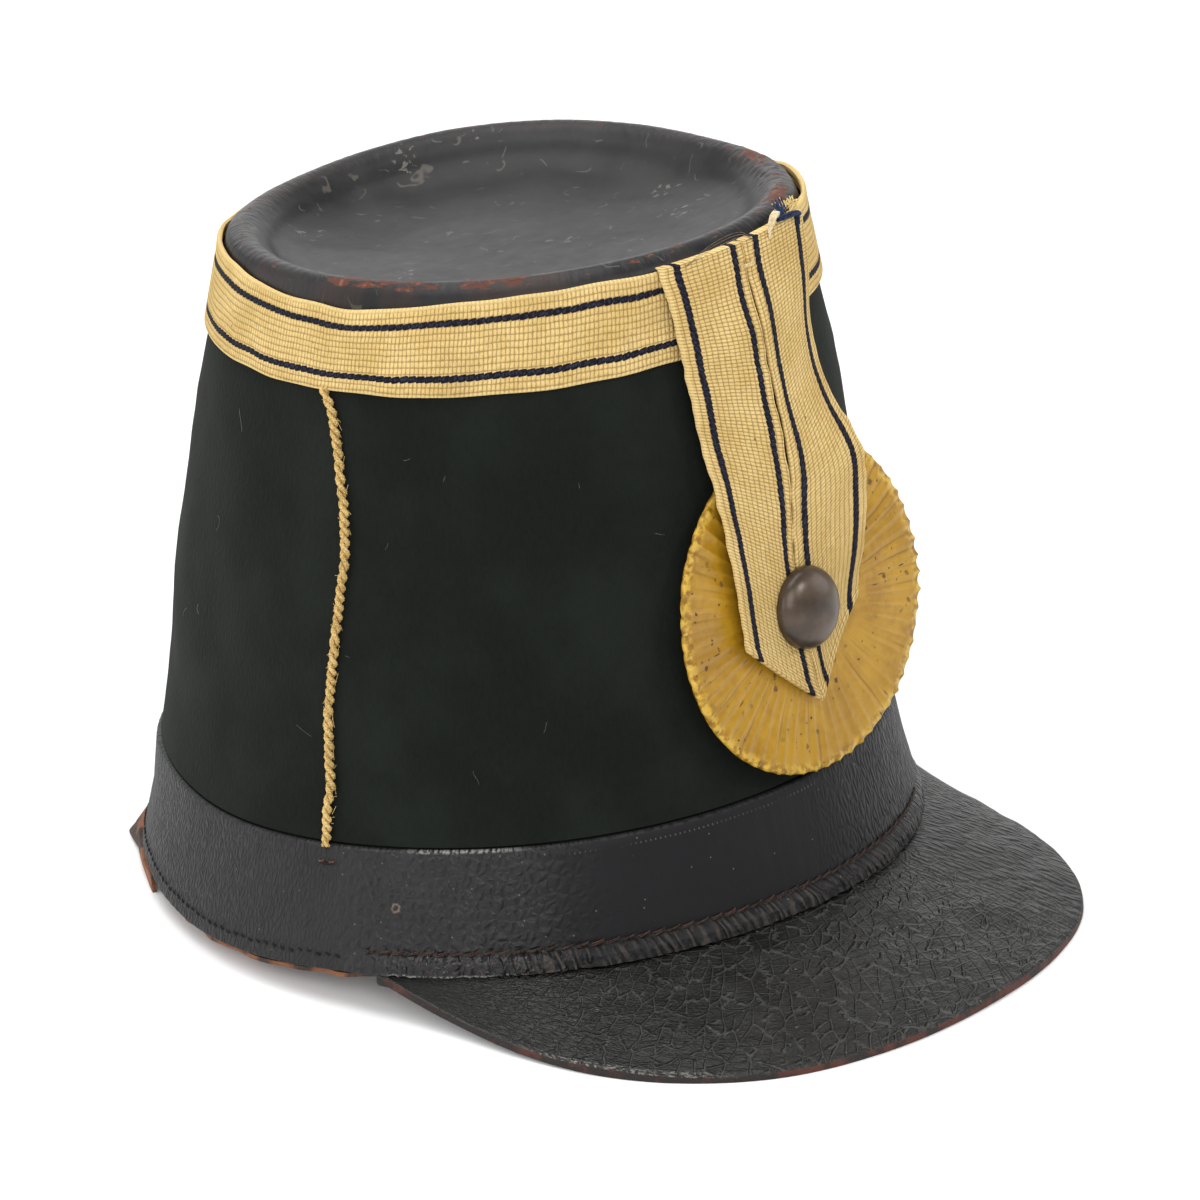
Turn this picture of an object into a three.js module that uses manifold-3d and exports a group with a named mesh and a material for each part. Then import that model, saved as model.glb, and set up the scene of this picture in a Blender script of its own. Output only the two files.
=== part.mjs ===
// A tall cloth kepi: a felt crown with a dished leather top, a webbing band and front loop, a
// fluted cockade held by a domed button, a cord down each side, and a leather base band, peak
// and sweatband. Millimetres, +Z up, the peak towards -Y, the wearer's left towards +X.

import * as THREE from "three";
import { mergeVertices } from "three/addons/utils/BufferGeometryUtils.js";
import Module from "manifold-3d";

const { clamp, degToRad, inverseLerp, lerp, radToDeg, smoothstep } = THREE.MathUtils;

// Stance: the hat stands pitched back, on the edge of its peak and on the back of its rim.
const PITCH = degToRad(4.3);
const RIM_CENTRE = new THREE.Vector3(0, 24.1, 7.0);

// The crown from the rim up: the felt's mean outer radius, and how far each section lies forward.
const CROWN_HEIGHT = 160.5;
const CROWN_SECTIONS = [
  { share: 0, radius: 99.9, forward: 0 },
  { share: 0.22, radius: 91, forward: 1.4 },
  { share: 0.5, radius: 85.3, forward: 4.1 },
  { share: 0.8, radius: 76.8, forward: 8.2 },
  { share: 1, radius: 71.2, forward: 11.6 },
];
const RIM_OVAL = 1.02; // length over width
const TOP_OVAL = 1.11;
const FRONT_WIDENING = 0.08; // share by which the front half is wider
const TOP_LEAN = degToRad(4.4); // the top's left side stands higher
const AROUND = 52; // facets round every ring

// Neither end of the crown is even: its top is lower and pushed in behind and on the left, and its
// foot is pushed in at two places. Angles run from the back round to the back, in degrees.
const TOP_TRIM = [
  { angle: -180, drop: 1.9, tuck: 1.2 },
  { angle: -158, drop: 1.5, tuck: 0.8 },
  { angle: -138, drop: 0.3, tuck: 0.2 },
  { angle: -110, drop: 0, tuck: 0 },
  { angle: 0, drop: 0, tuck: 0 },
  { angle: 22, drop: 0, tuck: 0.4 },
  { angle: 45, drop: 1.1, tuck: 3.2 },
  { angle: 62, drop: 2, tuck: 3.1 },
  { angle: 80, drop: 2.2, tuck: 2.5 },
  { angle: 100, drop: 1.1, tuck: 0.6 },
  { angle: 118, drop: 0, tuck: 0 },
  { angle: 140, drop: 0, tuck: 0 },
  { angle: 158, drop: 1, tuck: 0.6 },
  { angle: 180, drop: 1.9, tuck: 1.2 },
];
const TOP_TRIM_HEIGHTS = { start: 120, full: 160 };
const FOOT_TRIM = [
  { angle: -180, tuck: 0.3 },
  { angle: -165, tuck: 0.9 },
  { angle: -137, tuck: 2 },
  { angle: -108, tuck: 0.6 },
  { angle: -90, tuck: 0 },
  { angle: 0, tuck: 0 },
  { angle: 16, tuck: 0.2 },
  { angle: 42, tuck: 0.9 },
  { angle: 66, tuck: 0.3 },
  { angle: 88, tuck: 0 },
  { angle: 150, tuck: 0 },
  { angle: 180, tuck: 0.3 },
];
const FOOT_TRIM_HEIGHTS = { fade: 14.8, end: 29.6 };

// The rim isn't level: it sags beside the peak and lifts towards the back corners.
const RIM_WAVE = [
  { angle: 0, rise: 0 },
  { angle: 62, rise: 0 },
  { angle: 98, rise: -1.3 },
  { angle: 131, rise: 3.2 },
  { angle: 160, rise: 0.2 },
  { angle: 180, rise: 0 },
];
const RIM_WAVE_REACH = 70; // height at which the wave has died out

const GAP = 0.35; // clearance between pieces that touch

// Felt wall, pressed in behind the base band and behind the skirt of the top.
const FELT_FOOT = 1;
const FELT_TOP = 160.2;
const FELT_THICKNESS = 2.5;
const FELT_ROWS = 7;
const FELT_BACK_ROWS = 3;
const BASE_PRESS = 1.15;
const SKIRT_PRESS = 2.1;
const PRESS_LAP = 0.6; // how far a pressed stretch runs on past the piece over it
const PRESS_EASE = 16; // height over which the felt's back comes out of a pressed stretch

// Leather base band, with a hem that stands out over the peak.
const BASE_HEIGHT = 29.6;
const BASE_THICKNESS = 1.7;
const BASE_FACE = 0.85; // its face outside the felt's
const HEM_HEIGHT = 5.2;
const HEM_SHOULDER = 2.6; // height above which the hem draws in
const HEM_BULGE = 1.4;
const HEM_SPAN = degToRad(66);
const HEM_FADE = degToRad(90);
const HEM_FLATTENED = { start: degToRad(20), full: degToRad(42), share: 0.6 }; // on the left

// Webbing of the band and of the two strips of the front loop.
const WEBBING = 1.3;
const BAND_FOOT = 139.9;
const BAND_WAVE = [
  { angle: 0, rise: 0.6 },
  { angle: 45, rise: 1.5 },
  { angle: 83, rise: -1.5 },
  { angle: 120, rise: 0.4 },
  { angle: 180, rise: 0 },
];

// Leather top: a dish with a rolled rim, and a skirt that goes down behind the band.
const TOP_LEATHER = 1.6;
const SKIRT_FOOT = 142.5;
const SKIRT_FACE = -0.15;
const TOP_PROFILE = [
  { inset: 0, rise: -1.6 },
  { inset: 0.4, rise: 0.6 },
  { inset: 1.7, rise: 2.3 },
  { inset: 4.4, rise: 3.2 },
  { inset: 7.2, rise: 2.3 },
  { inset: 10.5, rise: -0.4 },
  { inset: 15, rise: -3.8 },
  { inset: 23, rise: -6.8 },
  { inset: 38, rise: -8.8 },
];
const DISH_DEPTH = 9.4;

// Fluted cockade and the domed button in its middle.
const COCKADE_CENTRE = new THREE.Vector3(4.9, -96, 73);
const COCKADE_PITCH = degToRad(6);
const COCKADE_YAW = degToRad(-2);
const COCKADE_RADIUS = 41.3;
const COCKADE_SHEET = 1.4;
const FLUTES = 60;
const FLUTE_DEPTH = 0.6;
const FLUTE_START = 9;
const SCALLOP = 0.35;
const BUTTON_RADIUS = 10.2;
const BUTTON_FACETS = 24;
const BUTTON_ROWS = 6;
const BUTTON_EDGE = 0.8;
const BUTTON_RISE = 5.2;
const BUTTON_SIDE = 2; // to the left of the rim's centre
const BUTTON_HEIGHT = 72.9;

// Front loop: two strips side by side, cut to a point at the foot. Columns are the height, the
// slit between the strips and the outer edges, measured to the wearer's left of the front line.
const LOOP_ROWS = [
  { height: 48, slit: 4.3, right: -18.6, left: 19 },
  { height: 68, slit: 2.1, right: -19.6, left: 20.3 },
  { height: 85, slit: 1.5, right: -20.2, left: 26.8 },
  { height: 103, slit: 1.3, right: -21.4, left: 28.6 },
  { height: 134, slit: -0.6, right: -23.4, left: 22.6 },
  { height: 162, slit: -2.3, right: -26, left: 23.8 },
];
const LOOP_SLIT = 0.6;
const LOOP_TIP = { side: 4.2, height: 48.8 };
const LOOP_SLANT = { right: 0.84, left: 1.45 }; // height the foot gains for each step from the tip

// How far the strips stand off what they lie on, along the slit and along the outer edges.
const LOOP_STAND = [
  { height: 48, slit: 0, right: 0, left: 0 },
  { height: 85, slit: 0, right: 0, left: 0 },
  { height: 95, slit: 1, right: 0.1, left: 0.7 },
  { height: 105, slit: 2.6, right: 0, left: 1.2 },
  { height: 117, slit: 3.1, right: -0.9, left: -2.6 },
  { height: 124, slit: 2.8, right: -0.2, left: -2.6 },
  { height: 134, slit: 2.4, right: 1, left: -0.8 },
  { height: 142, slit: 2.1, right: 1.2, left: 0 },
  { height: 152, slit: 0.4, right: 0.8, left: 0.6 },
  { height: 163, slit: 0, right: 0, left: 0 },
];
const LOOP_SHOULDER = 161.9; // where the strips turn in over the band
const LOOP_TOP = 162.8;
const LOOP_CORNER_LIFT = 2.6; // the left strip's outer top corner is pulled up
const LOOP_ON_CROWN = 141; // above this the strips follow the crown
const LOOP_ON_COCKADE = 112; // below this they lie flat on the cockade
const LOOP_FOLD = 1.5; // how far the folded tops reach in over the band
const LOOP_LIFT_START = 0.8; // share of the strip's length from which the corner is pulled up
const LOOP_LIFT_POWER = 3;
const STRIP_COLUMNS = 5;
const STRIP_ROWS = 22;

// Side cords: their route down the felt.
const CORD_RADIUS = 1.3;
const CORD_ROUTE = [
  { height: 139.4, angle: 82.8 },
  { height: 132.9, angle: 80.2 },
  { height: 119, angle: 77.4 },
  { height: 104.9, angle: 75.4 },
  { height: 80.5, angle: 75.8 },
  { height: 60.4, angle: 76.3 },
  { height: 44, angle: 75.6 },
  { height: 30.2, angle: 75.7 },
];
const CORD_STEPS = 24;
const CORD_ARC_DIVISIONS = 4; // gives eight sides

// Peak: reach out from the rim along its half span, and how far its edge drops.
const PEAK_HALF_SPAN = degToRad(65.8);
const PEAK_REACH = [
  { share: 0, reach: 46.8 },
  { share: 0.2, reach: 46.5 },
  { share: 0.35, reach: 44.1 },
  { share: 0.5, reach: 36.3 },
  { share: 0.6, reach: 28.3 },
  { share: 0.7, reach: 18.6 },
  { share: 0.8, reach: 9.5 },
  { share: 0.9, reach: 3.6 },
  { share: 1, reach: 0 },
];
const PEAK_DROP = 17.1;
const PEAK_DROP_POWER = 3.1;
const PEAK_CURL = 1.15; // above 1 the peak bends down more towards its edge
const PEAK_THICKNESS = 2.4;
const PEAK_TUCK = 3; // how far it runs in under the rim
const PEAK_COLUMNS = 44;
const PEAK_ROWS = 7;
const PEAK_TUCK_ROWS = 1;

// Sweatband, and the torn tongue of it that is turned out under the rim.
const SWEATBAND_TOP = 34;
const SWEATBAND_FOOT = -1;
const SWEATBAND_THICKNESS = 1.2;
const TONGUE_ANGLE = degToRad(-137);
const TONGUE_HALF_WIDTH = degToRad(5.5);
const TONGUE_ROUTE = [
  { offset: -4.6, height: 4 },
  { offset: -4.4, height: -1.2 },
  { offset: -1.4, height: -2.4 },
  { offset: 1.9, height: -0.8 },
  { offset: 3.5, height: 3.4 },
  { offset: 3.5, height: 7 },
  { offset: 2.3, height: 11 },
];
const TONGUE_TIP = 0.25; // share of its width left at its tip
const TONGUE_THICKNESS = 1.1;
const TONGUE_COLUMNS = 4;
const TONGUE_ROWS = 12;

// A smooth curve through one column of a table. An end of it is straight, or level, or the table
// closes on itself.
function columnCurve(rows, at, column, ends = {}) {
  const { start = THREE.ZeroCurvatureEnding, end = THREE.ZeroCurvatureEnding } = ends;
  const curve = new THREE.CubicInterpolant(
    rows.map((row) => row[at]),
    rows.map((row) => row[column]),
    1,
  );
  curve.settings = { endingStart: start, endingEnd: end };
  return (position) => curve.evaluate(position)[0];
}

const LEVEL_ENDS = { start: THREE.ZeroSlopeEnding, end: THREE.ZeroSlopeEnding };
const JOINED_ENDS = { start: THREE.WrapAroundEnding, end: THREE.WrapAroundEnding };

const radiusAt = columnCurve(CROWN_SECTIONS, "share", "radius");
const forwardAt = columnCurve(CROWN_SECTIONS, "share", "forward");
const rimRiseAt = columnCurve(RIM_WAVE, "angle", "rise", LEVEL_ENDS);
const bandRiseAt = columnCurve(BAND_WAVE, "angle", "rise", LEVEL_ENDS);
const topDropAt = columnCurve(TOP_TRIM, "angle", "drop", JOINED_ENDS);
const topTuckAt = columnCurve(TOP_TRIM, "angle", "tuck", JOINED_ENDS);
const footTuckAt = columnCurve(FOOT_TRIM, "angle", "tuck", JOINED_ENDS);
const slitAt = columnCurve(LOOP_ROWS, "height", "slit");
const slitStandAt = columnCurve(LOOP_STAND, "height", "slit", LEVEL_ENDS);
const reachAt = columnCurve(PEAK_REACH, "share", "reach", { start: THREE.ZeroSlopeEnding });

const shareAt = (height) => clamp(height / CROWN_HEIGHT, 0, 1);

// The angle from the front in degrees, positive to the wearer's left.
function degreesLeft(angle) {
  return radToDeg(Math.atan2(Math.sin(angle), Math.cos(angle)));
}

// The angle away from the front, 0 to 180 degrees, the same on both sides.
function degreesFromFront(angle) {
  return Math.abs(degreesLeft(angle));
}

// Half the hat's width at a height, with the surface moved out by an offset.
function halfWidthAt(height, offset) {
  const radius = radiusAt(shareAt(height));
  const oval = lerp(RIM_OVAL, TOP_OVAL, shareAt(height));
  return (2 * (radius + offset)) / (1 + oval);
}

// A point of the hat: its angle from the front towards the wearer's left, its height over the
// rim, and its distance out from the felt's face. Minus the mean radius is the middle.
function hatPoint(angle, height, offset) {
  const share = shareAt(height);
  const oval = lerp(RIM_OVAL, TOP_OVAL, share);
  const left = degreesLeft(angle);
  const fromMiddle = clamp(1 + offset / radiusAt(share), 0, 1);
  const { start, full } = TOP_TRIM_HEIGHTS;
  const { fade, end } = FOOT_TRIM_HEIGHTS;
  const atTop = clamp(inverseLerp(start, full, height), 0, 1) * fromMiddle;
  const atFoot = 1 - clamp(inverseLerp(fade, end, height), 0, 1);
  const tuck = topTuckAt(left) * atTop + footTuckAt(left) * atFoot;
  const halfWidth = halfWidthAt(height, offset - tuck);
  const x = halfWidth * Math.sin(angle) * (1 + FRONT_WIDENING * Math.cos(angle));
  const y = -halfWidth * oval * Math.cos(angle) - forwardAt(share);
  const wave = rimRiseAt(Math.abs(left)) * clamp(1 - height / RIM_WAVE_REACH, 0, 1);
  const lean = x * share * Math.sin(TOP_LEAN);
  return new THREE.Vector3(x, y, height + wave + lean - topDropAt(left) * atTop);
}

// Flattens a point of the hat onto the floor where it would reach below it.
function onFloor(point) {
  const floor = (point.y * Math.sin(PITCH) - RIM_CENTRE.z) / Math.cos(PITCH);
  point.z = Math.max(point.z, floor);
  return point;
}

// Moves every vertex of a geometry to where a function of its position puts it.
function reshaped(geometry, place) {
  const spots = geometry.getAttribute("position");
  const spot = new THREE.Vector3();
  for (let i = 0; i < spots.count; i += 1) {
    spot.fromBufferAttribute(spots, i);
    const moved = place(spot);
    spots.setXYZ(i, moved.x, moved.y, moved.z);
  }
  geometry.deleteAttribute("uv");
  geometry.deleteAttribute("normal");
  const merged = mergeVertices(geometry);
  merged.computeVertexNormals();
  return merged;
}

// A wall round the hat from a section of heights and offsets, up its outside and down its inside.
function ring(section, place = hatPoint) {
  const profile = section.map(
    ({ height, offset }) => new THREE.Vector2(radiusAt(shareAt(height)) + offset, height),
  );
  return reshaped(new THREE.LatheGeometry(profile, AROUND), (spot) => {
    const offset = Math.hypot(spot.x, spot.z) - radiusAt(shareAt(spot.y));
    return place(Math.atan2(spot.x, spot.z), spot.y, offset);
  });
}

// A section that closes on itself.
function closedSection(outside, inside) {
  return [...outside, ...inside, outside[0]];
}

// A flat panel bent into place: across and along it and through its thickness run from 0 to 1.
function panel(columns, rows, place) {
  const half = 0.5;
  const flat = new THREE.BoxGeometry(1, 1, 1, columns, rows, 1);
  return reshaped(flat, (spot) => place(spot.x + half, spot.y + half, spot.z + half));
}

// Evenly spaced heights, both ends included.
function heightsBetween(low, high, steps) {
  return Array.from({ length: steps + 1 }, (_, i) => lerp(low, high, i / steps));
}

function crownWallGeometry() {
  const baseEnd = BASE_HEIGHT + PRESS_LAP;
  const skirtStart = BAND_FOOT + PRESS_LAP;
  const sweatbandEnd = SWEATBAND_TOP + PRESS_LAP;
  const face = heightsBetween(baseEnd, skirtStart, FELT_ROWS);
  const back = heightsBetween(skirtStart - PRESS_EASE, sweatbandEnd + PRESS_EASE, FELT_BACK_ROWS);
  const outside = [
    { height: FELT_FOOT, offset: -BASE_PRESS },
    { height: BASE_HEIGHT / 2, offset: -BASE_PRESS },
    { height: baseEnd, offset: -BASE_PRESS },
    ...face.map((height) => ({ height, offset: 0 })),
    { height: skirtStart, offset: -SKIRT_PRESS },
    { height: FELT_TOP, offset: -SKIRT_PRESS },
  ];
  const inside = [
    { height: FELT_TOP, offset: -SKIRT_PRESS - FELT_THICKNESS },
    { height: skirtStart, offset: -SKIRT_PRESS - FELT_THICKNESS },
    ...back.map((height) => ({ height, offset: -FELT_THICKNESS })),
    { height: sweatbandEnd, offset: -BASE_PRESS - FELT_THICKNESS },
    { height: BASE_HEIGHT / 2, offset: -BASE_PRESS - FELT_THICKNESS },
    { height: FELT_FOOT, offset: -BASE_PRESS - FELT_THICKNESS },
  ];
  return ring(closedSection(outside, inside));
}

// The top's section runs from the skirt's foot over the rim to the middle, and back underneath.
function crownTopGeometry() {
  const onAxis = (height) => ({ height, offset: -radiusAt(shareAt(height)) });
  const upper = TOP_PROFILE.map(({ inset, rise }) => new THREE.Vector2(SKIRT_FACE - inset, rise));
  const lower = upper.map((point, i) => {
    const before = upper[Math.max(i - 1, 0)];
    const after = upper[Math.min(i + 1, upper.length - 1)];
    const along = after.clone().sub(before).normalize();
    return new THREE.Vector2(point.x - along.y * TOP_LEATHER, point.y + along.x * TOP_LEATHER);
  });
  const asRow = (point) => ({ height: CROWN_HEIGHT + point.y, offset: point.x });
  const skirtBack = SKIRT_FACE - TOP_LEATHER;
  return ring([
    onAxis(CROWN_HEIGHT - DISH_DEPTH - TOP_LEATHER),
    ...lower.slice(1).reverse().map(asRow),
    { height: CROWN_HEIGHT + upper[0].y, offset: skirtBack },
    { height: SKIRT_FOOT, offset: skirtBack },
    { height: SKIRT_FOOT, offset: SKIRT_FACE },
    ...upper.map(asRow),
    onAxis(CROWN_HEIGHT - DISH_DEPTH),
  ]);
}

function topBandGeometry() {
  const middle = (BAND_FOOT + CROWN_HEIGHT) / 2;
  const heights = [BAND_FOOT, middle, CROWN_HEIGHT];
  const outside = heights.map((height) => ({ height, offset: GAP + WEBBING }));
  const inside = heights.map((height) => ({ height, offset: GAP })).reverse();
  return ring(closedSection(outside, inside), (angle, height, offset) => {
    const share = (height - BAND_FOOT) / (CROWN_HEIGHT - BAND_FOOT);
    return hatPoint(angle, height + bandRiseAt(degreesFromFront(angle)) * share, offset);
  });
}

// The hem's bulge over the peak, fading out behind it.
function hemBulge(angle, height) {
  const left = degToRad(degreesLeft(angle));
  const overPeak = 1 - smoothstep(Math.abs(left), HEM_SPAN, HEM_FADE);
  const lowDown = 1 - smoothstep(height, HEM_SHOULDER, HEM_HEIGHT);
  const { start, full, share } = HEM_FLATTENED;
  return HEM_BULGE * overPeak * lowDown * (1 - share * smoothstep(left, start, full));
}

function baseBandGeometry() {
  const hemHeights = [HEM_SHOULDER, (HEM_SHOULDER + HEM_HEIGHT) / 2, HEM_HEIGHT];
  const heights = [0, ...hemHeights, BASE_HEIGHT / 2, BASE_HEIGHT];
  const backHeights = [BASE_HEIGHT, BASE_HEIGHT / 2, 0];
  const outside = heights.map((height) => ({ height, offset: BASE_FACE }));
  const inside = backHeights.map((height) => ({ height, offset: BASE_FACE - BASE_THICKNESS }));
  return ring(closedSection(outside, inside), (angle, height, offset) => {
    const bulge = offset > 0 ? hemBulge(angle, height) : 0;
    return onFloor(hatPoint(angle, height, offset + bulge));
  });
}

// The peak hangs from under the rim: along its span, in from its edge, and up through it.
function peakGeometry() {
  const seat = -GAP - PEAK_THICKNESS / 2;
  const step = 1e-3;
  return panel(PEAK_COLUMNS, PEAK_ROWS, (across, inward, up) => {
    const span = 2 * across - 1;
    const angle = span * PEAK_HALF_SPAN;
    const row = inward * PEAK_ROWS;
    const out = clamp(1 - row / (PEAK_ROWS - PEAK_TUCK_ROWS), 0, 1);
    const tuck = clamp(row - (PEAK_ROWS - PEAK_TUCK_ROWS), 0, 1) * PEAK_TUCK;
    const rim = hatPoint(angle, 0, BASE_FACE - tuck);
    const outward = hatPoint(angle + step, 0, 0).sub(hatPoint(angle - step, 0, 0));
    outward.set(outward.y, -outward.x, 0).normalize();
    const drop = PEAK_DROP * (1 - Math.abs(span) ** PEAK_DROP_POWER);
    const fall = Math.max(drop + seat, 0) * out ** PEAK_CURL;
    rim.addScaledVector(outward, reachAt(Math.abs(span)) * out);
    rim.z += seat - fall + (up - 1 / 2) * PEAK_THICKNESS;
    return onFloor(rim);
  });
}

// The tongue follows its route from inside the hat, under the rim and up the outside.
function tongueGeometry() {
  const route = new THREE.CatmullRomCurve3(
    TONGUE_ROUTE.map(({ offset, height }) => new THREE.Vector3(offset, height, 0)),
  );
  return panel(TONGUE_COLUMNS, TONGUE_ROWS, (across, along, through) => {
    const spot = route.getPoint(1 - along);
    const way = route.getTangent(1 - along);
    const out = (through - 1 / 2) * TONGUE_THICKNESS;
    const width = TONGUE_HALF_WIDTH * lerp(TONGUE_TIP, 1, Math.sqrt(along));
    const angle = TONGUE_ANGLE + (2 * across - 1) * width;
    return onFloor(hatPoint(angle, spot.y + way.x * out, spot.x - way.y * out));
  });
}

const wasm = await Module();
wasm.setup();

function solidOf(geometry) {
  const { position } = geometry.attributes;
  return new wasm.Manifold(
    new wasm.Mesh({
      numProp: 3,
      vertProperties: new Float32Array(position.array),
      triVerts: new Uint32Array(geometry.index.array),
    }),
  );
}

// Two closed geometries joined into one.
function joined(first, second) {
  const mesh = solidOf(first).add(solidOf(second)).getMesh();
  const geometry = new THREE.BufferGeometry();
  geometry.setAttribute("position", new THREE.BufferAttribute(mesh.vertProperties, 3));
  geometry.setIndex(new THREE.BufferAttribute(mesh.triVerts, 1));
  geometry.computeVertexNormals();
  return geometry;
}

function sweatbandGeometry() {
  const face = -BASE_PRESS - FELT_THICKNESS - GAP;
  const back = face - SWEATBAND_THICKNESS;
  const heights = [SWEATBAND_FOOT, BASE_HEIGHT / 2, SWEATBAND_TOP];
  const outside = heights.map((height) => ({ height, offset: face }));
  const inside = heights.map((height) => ({ height, offset: back })).reverse();
  const band = ring(closedSection(outside, inside), (angle, height, offset) =>
    onFloor(hatPoint(angle, height, offset)),
  );
  return joined(band, tongueGeometry());
}

const cockadeNormal = new THREE.Vector3(0, -1, 0)
  .applyAxisAngle(new THREE.Vector3(1, 0, 0), -COCKADE_PITCH)
  .applyAxisAngle(new THREE.Vector3(0, 0, 1), COCKADE_YAW);

// A sheet pressed into flutes that deepen towards its scalloped edge.
function cockadeGeometry() {
  const radii = [0, FLUTE_START, (FLUTE_START + COCKADE_RADIUS) / 2, COCKADE_RADIUS];
  const back = radii.map((radius) => new THREE.Vector2(radius, -COCKADE_SHEET));
  const face = radii.map((radius) => new THREE.Vector2(radius, 0)).reverse();
  const disc = new THREE.LatheGeometry([...back, ...face], 2 * FLUTES);
  return reshaped(disc, (spot) => {
    const wave = Math.cos(FLUTES * Math.atan2(spot.x, spot.z));
    const radius = Math.hypot(spot.x, spot.z);
    const depth = smoothstep(radius, FLUTE_START, COCKADE_RADIUS) * wave;
    const stretch = 1 + (depth * SCALLOP) / COCKADE_RADIUS;
    const rise = spot.y + depth * FLUTE_DEPTH;
    return new THREE.Vector3(spot.x * stretch, rise, spot.z * stretch);
  });
}

function buttonGeometry() {
  const profile = [new THREE.Vector2(0, 0), new THREE.Vector2(BUTTON_RADIUS, 0)];
  for (let i = 0; i <= BUTTON_ROWS; i += 1) {
    const turn = (i / BUTTON_ROWS) * (Math.PI / 2);
    const radius = i === BUTTON_ROWS ? 0 : BUTTON_RADIUS * Math.cos(turn);
    profile.push(new THREE.Vector2(radius, BUTTON_EDGE + BUTTON_RISE * Math.sin(turn)));
  }
  return reshaped(new THREE.LatheGeometry(profile, BUTTON_FACETS), (spot) => spot);
}

// A point in front of the cockade: at a side and a height, and out from the crests of its flutes.
function cockadePoint(side, height, out) {
  const across = (side - COCKADE_CENTRE.x) * cockadeNormal.x;
  const upwards = (height - COCKADE_CENTRE.z) * cockadeNormal.z;
  const y = COCKADE_CENTRE.y - (across + upwards) / cockadeNormal.y;
  return new THREE.Vector3(side, y, height).addScaledVector(cockadeNormal, FLUTE_DEPTH + out);
}

// A point in front of the crown at a side and a height.
function crownFrontPoint(side, height, offset) {
  const halfWidth = halfWidthAt(height, offset);
  const refinements = 4;
  let angle = 0;
  for (let i = 0; i < refinements; i += 1) {
    angle = Math.asin(side / (halfWidth * (1 + FRONT_WIDENING * Math.cos(angle))));
  }
  return hatPoint(angle, height, offset);
}

// A strip of the front loop, from its slanted foot up over the cockade and the band.
function loopStripGeometry(edge, cornerLift) {
  const edgeAt = columnCurve(LOOP_ROWS, "height", edge);
  const edgeStandAt = columnCurve(LOOP_STAND, "height", edge, LEVEL_ENDS);
  const shoulder = 1 - 1 / STRIP_ROWS;
  const leftward = edge === "left";
  return panel(STRIP_COLUMNS, STRIP_ROWS, (across, along, out) => {
    const fromSlit = leftward ? across : 1 - across;
    const turnedIn = smoothstep(along, shoulder, 1);
    const sideAt = (height) => {
      const slit = slitAt(height) + (leftward ? LOOP_SLIT / 2 : -LOOP_SLIT / 2);
      return lerp(slit, edgeAt(height), fromSlit);
    };
    const fromTip = Math.abs(sideAt(LOOP_TIP.height) - LOOP_TIP.side);
    const foot = LOOP_TIP.height + LOOP_SLANT[edge] * fromTip;
    const straight = lerp(foot, LOOP_SHOULDER, Math.min(along / shoulder, 1));
    const pulledUp = smoothstep(along, LOOP_LIFT_START, 1) * fromSlit ** LOOP_LIFT_POWER;
    const height = lerp(straight, LOOP_TOP, turnedIn) + cornerLift * pulledUp;
    const side = sideAt(height);
    const fold = (1 - out) * turnedIn * LOOP_FOLD;
    const stand = lerp(slitStandAt(height), edgeStandAt(height), fromSlit);
    const rise = out * WEBBING - fold + stand;
    const onCrown = smoothstep(height, LOOP_ON_COCKADE, LOOP_ON_CROWN);
    const flat = cockadePoint(side, height, GAP + rise);
    const bent = crownFrontPoint(side, height, 2 * GAP + WEBBING + rise);
    return flat.lerp(bent, onCrown);
  });
}

function sideCordGeometry(sign) {
  const seat = GAP + CORD_RADIUS;
  const route = new THREE.CatmullRomCurve3(
    CORD_ROUTE.map(({ height, angle }) => hatPoint(sign * degToRad(angle), height, seat)),
  );
  const round = new THREE.Shape().absarc(0, 0, CORD_RADIUS, 0, 2 * Math.PI);
  return new THREE.ExtrudeGeometry(round, {
    steps: CORD_STEPS,
    curveSegments: CORD_ARC_DIVISIONS,
    extrudePath: route,
  });
}

const FELT = { color: "#141d18", roughness: 0.95 };
const DULL_LEATHER = { color: "#3b3a3c", roughness: 0.5 };
const BAND_LEATHER = { color: "#2b2a2d", roughness: 0.5 };
const CRACKED_LEATHER = { color: "#2f302d", roughness: 0.55 };
const BROWN_LEATHER = { color: "#7a4526", roughness: 0.7 };
const STRAW_WEBBING = { color: "#d2b36f", roughness: 0.85 };
const STRAW_CORD = { color: "#c9a761", roughness: 0.85 };
const OCHRE_SHEET = { color: "#b98b26", roughness: 0.35 };
const BRONZE = { color: "#4b443e", roughness: 0.4, metalness: 0.8 };

function pieceOf(name, geometry, finish) {
  const mesh = new THREE.Mesh(geometry, new THREE.MeshStandardMaterial(finish));
  mesh.name = name;
  return mesh;
}

// A piece made about +Y, turned to face the way the cockade does.
function facingPiece(name, geometry, finish, place) {
  const piece = pieceOf(name, geometry, finish);
  piece.quaternion.setFromUnitVectors(new THREE.Vector3(0, 1, 0), cockadeNormal);
  piece.position.copy(place);
  return piece;
}

const buttonSeat = cockadePoint(BUTTON_SIDE, BUTTON_HEIGHT, 2 * GAP + WEBBING);

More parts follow.
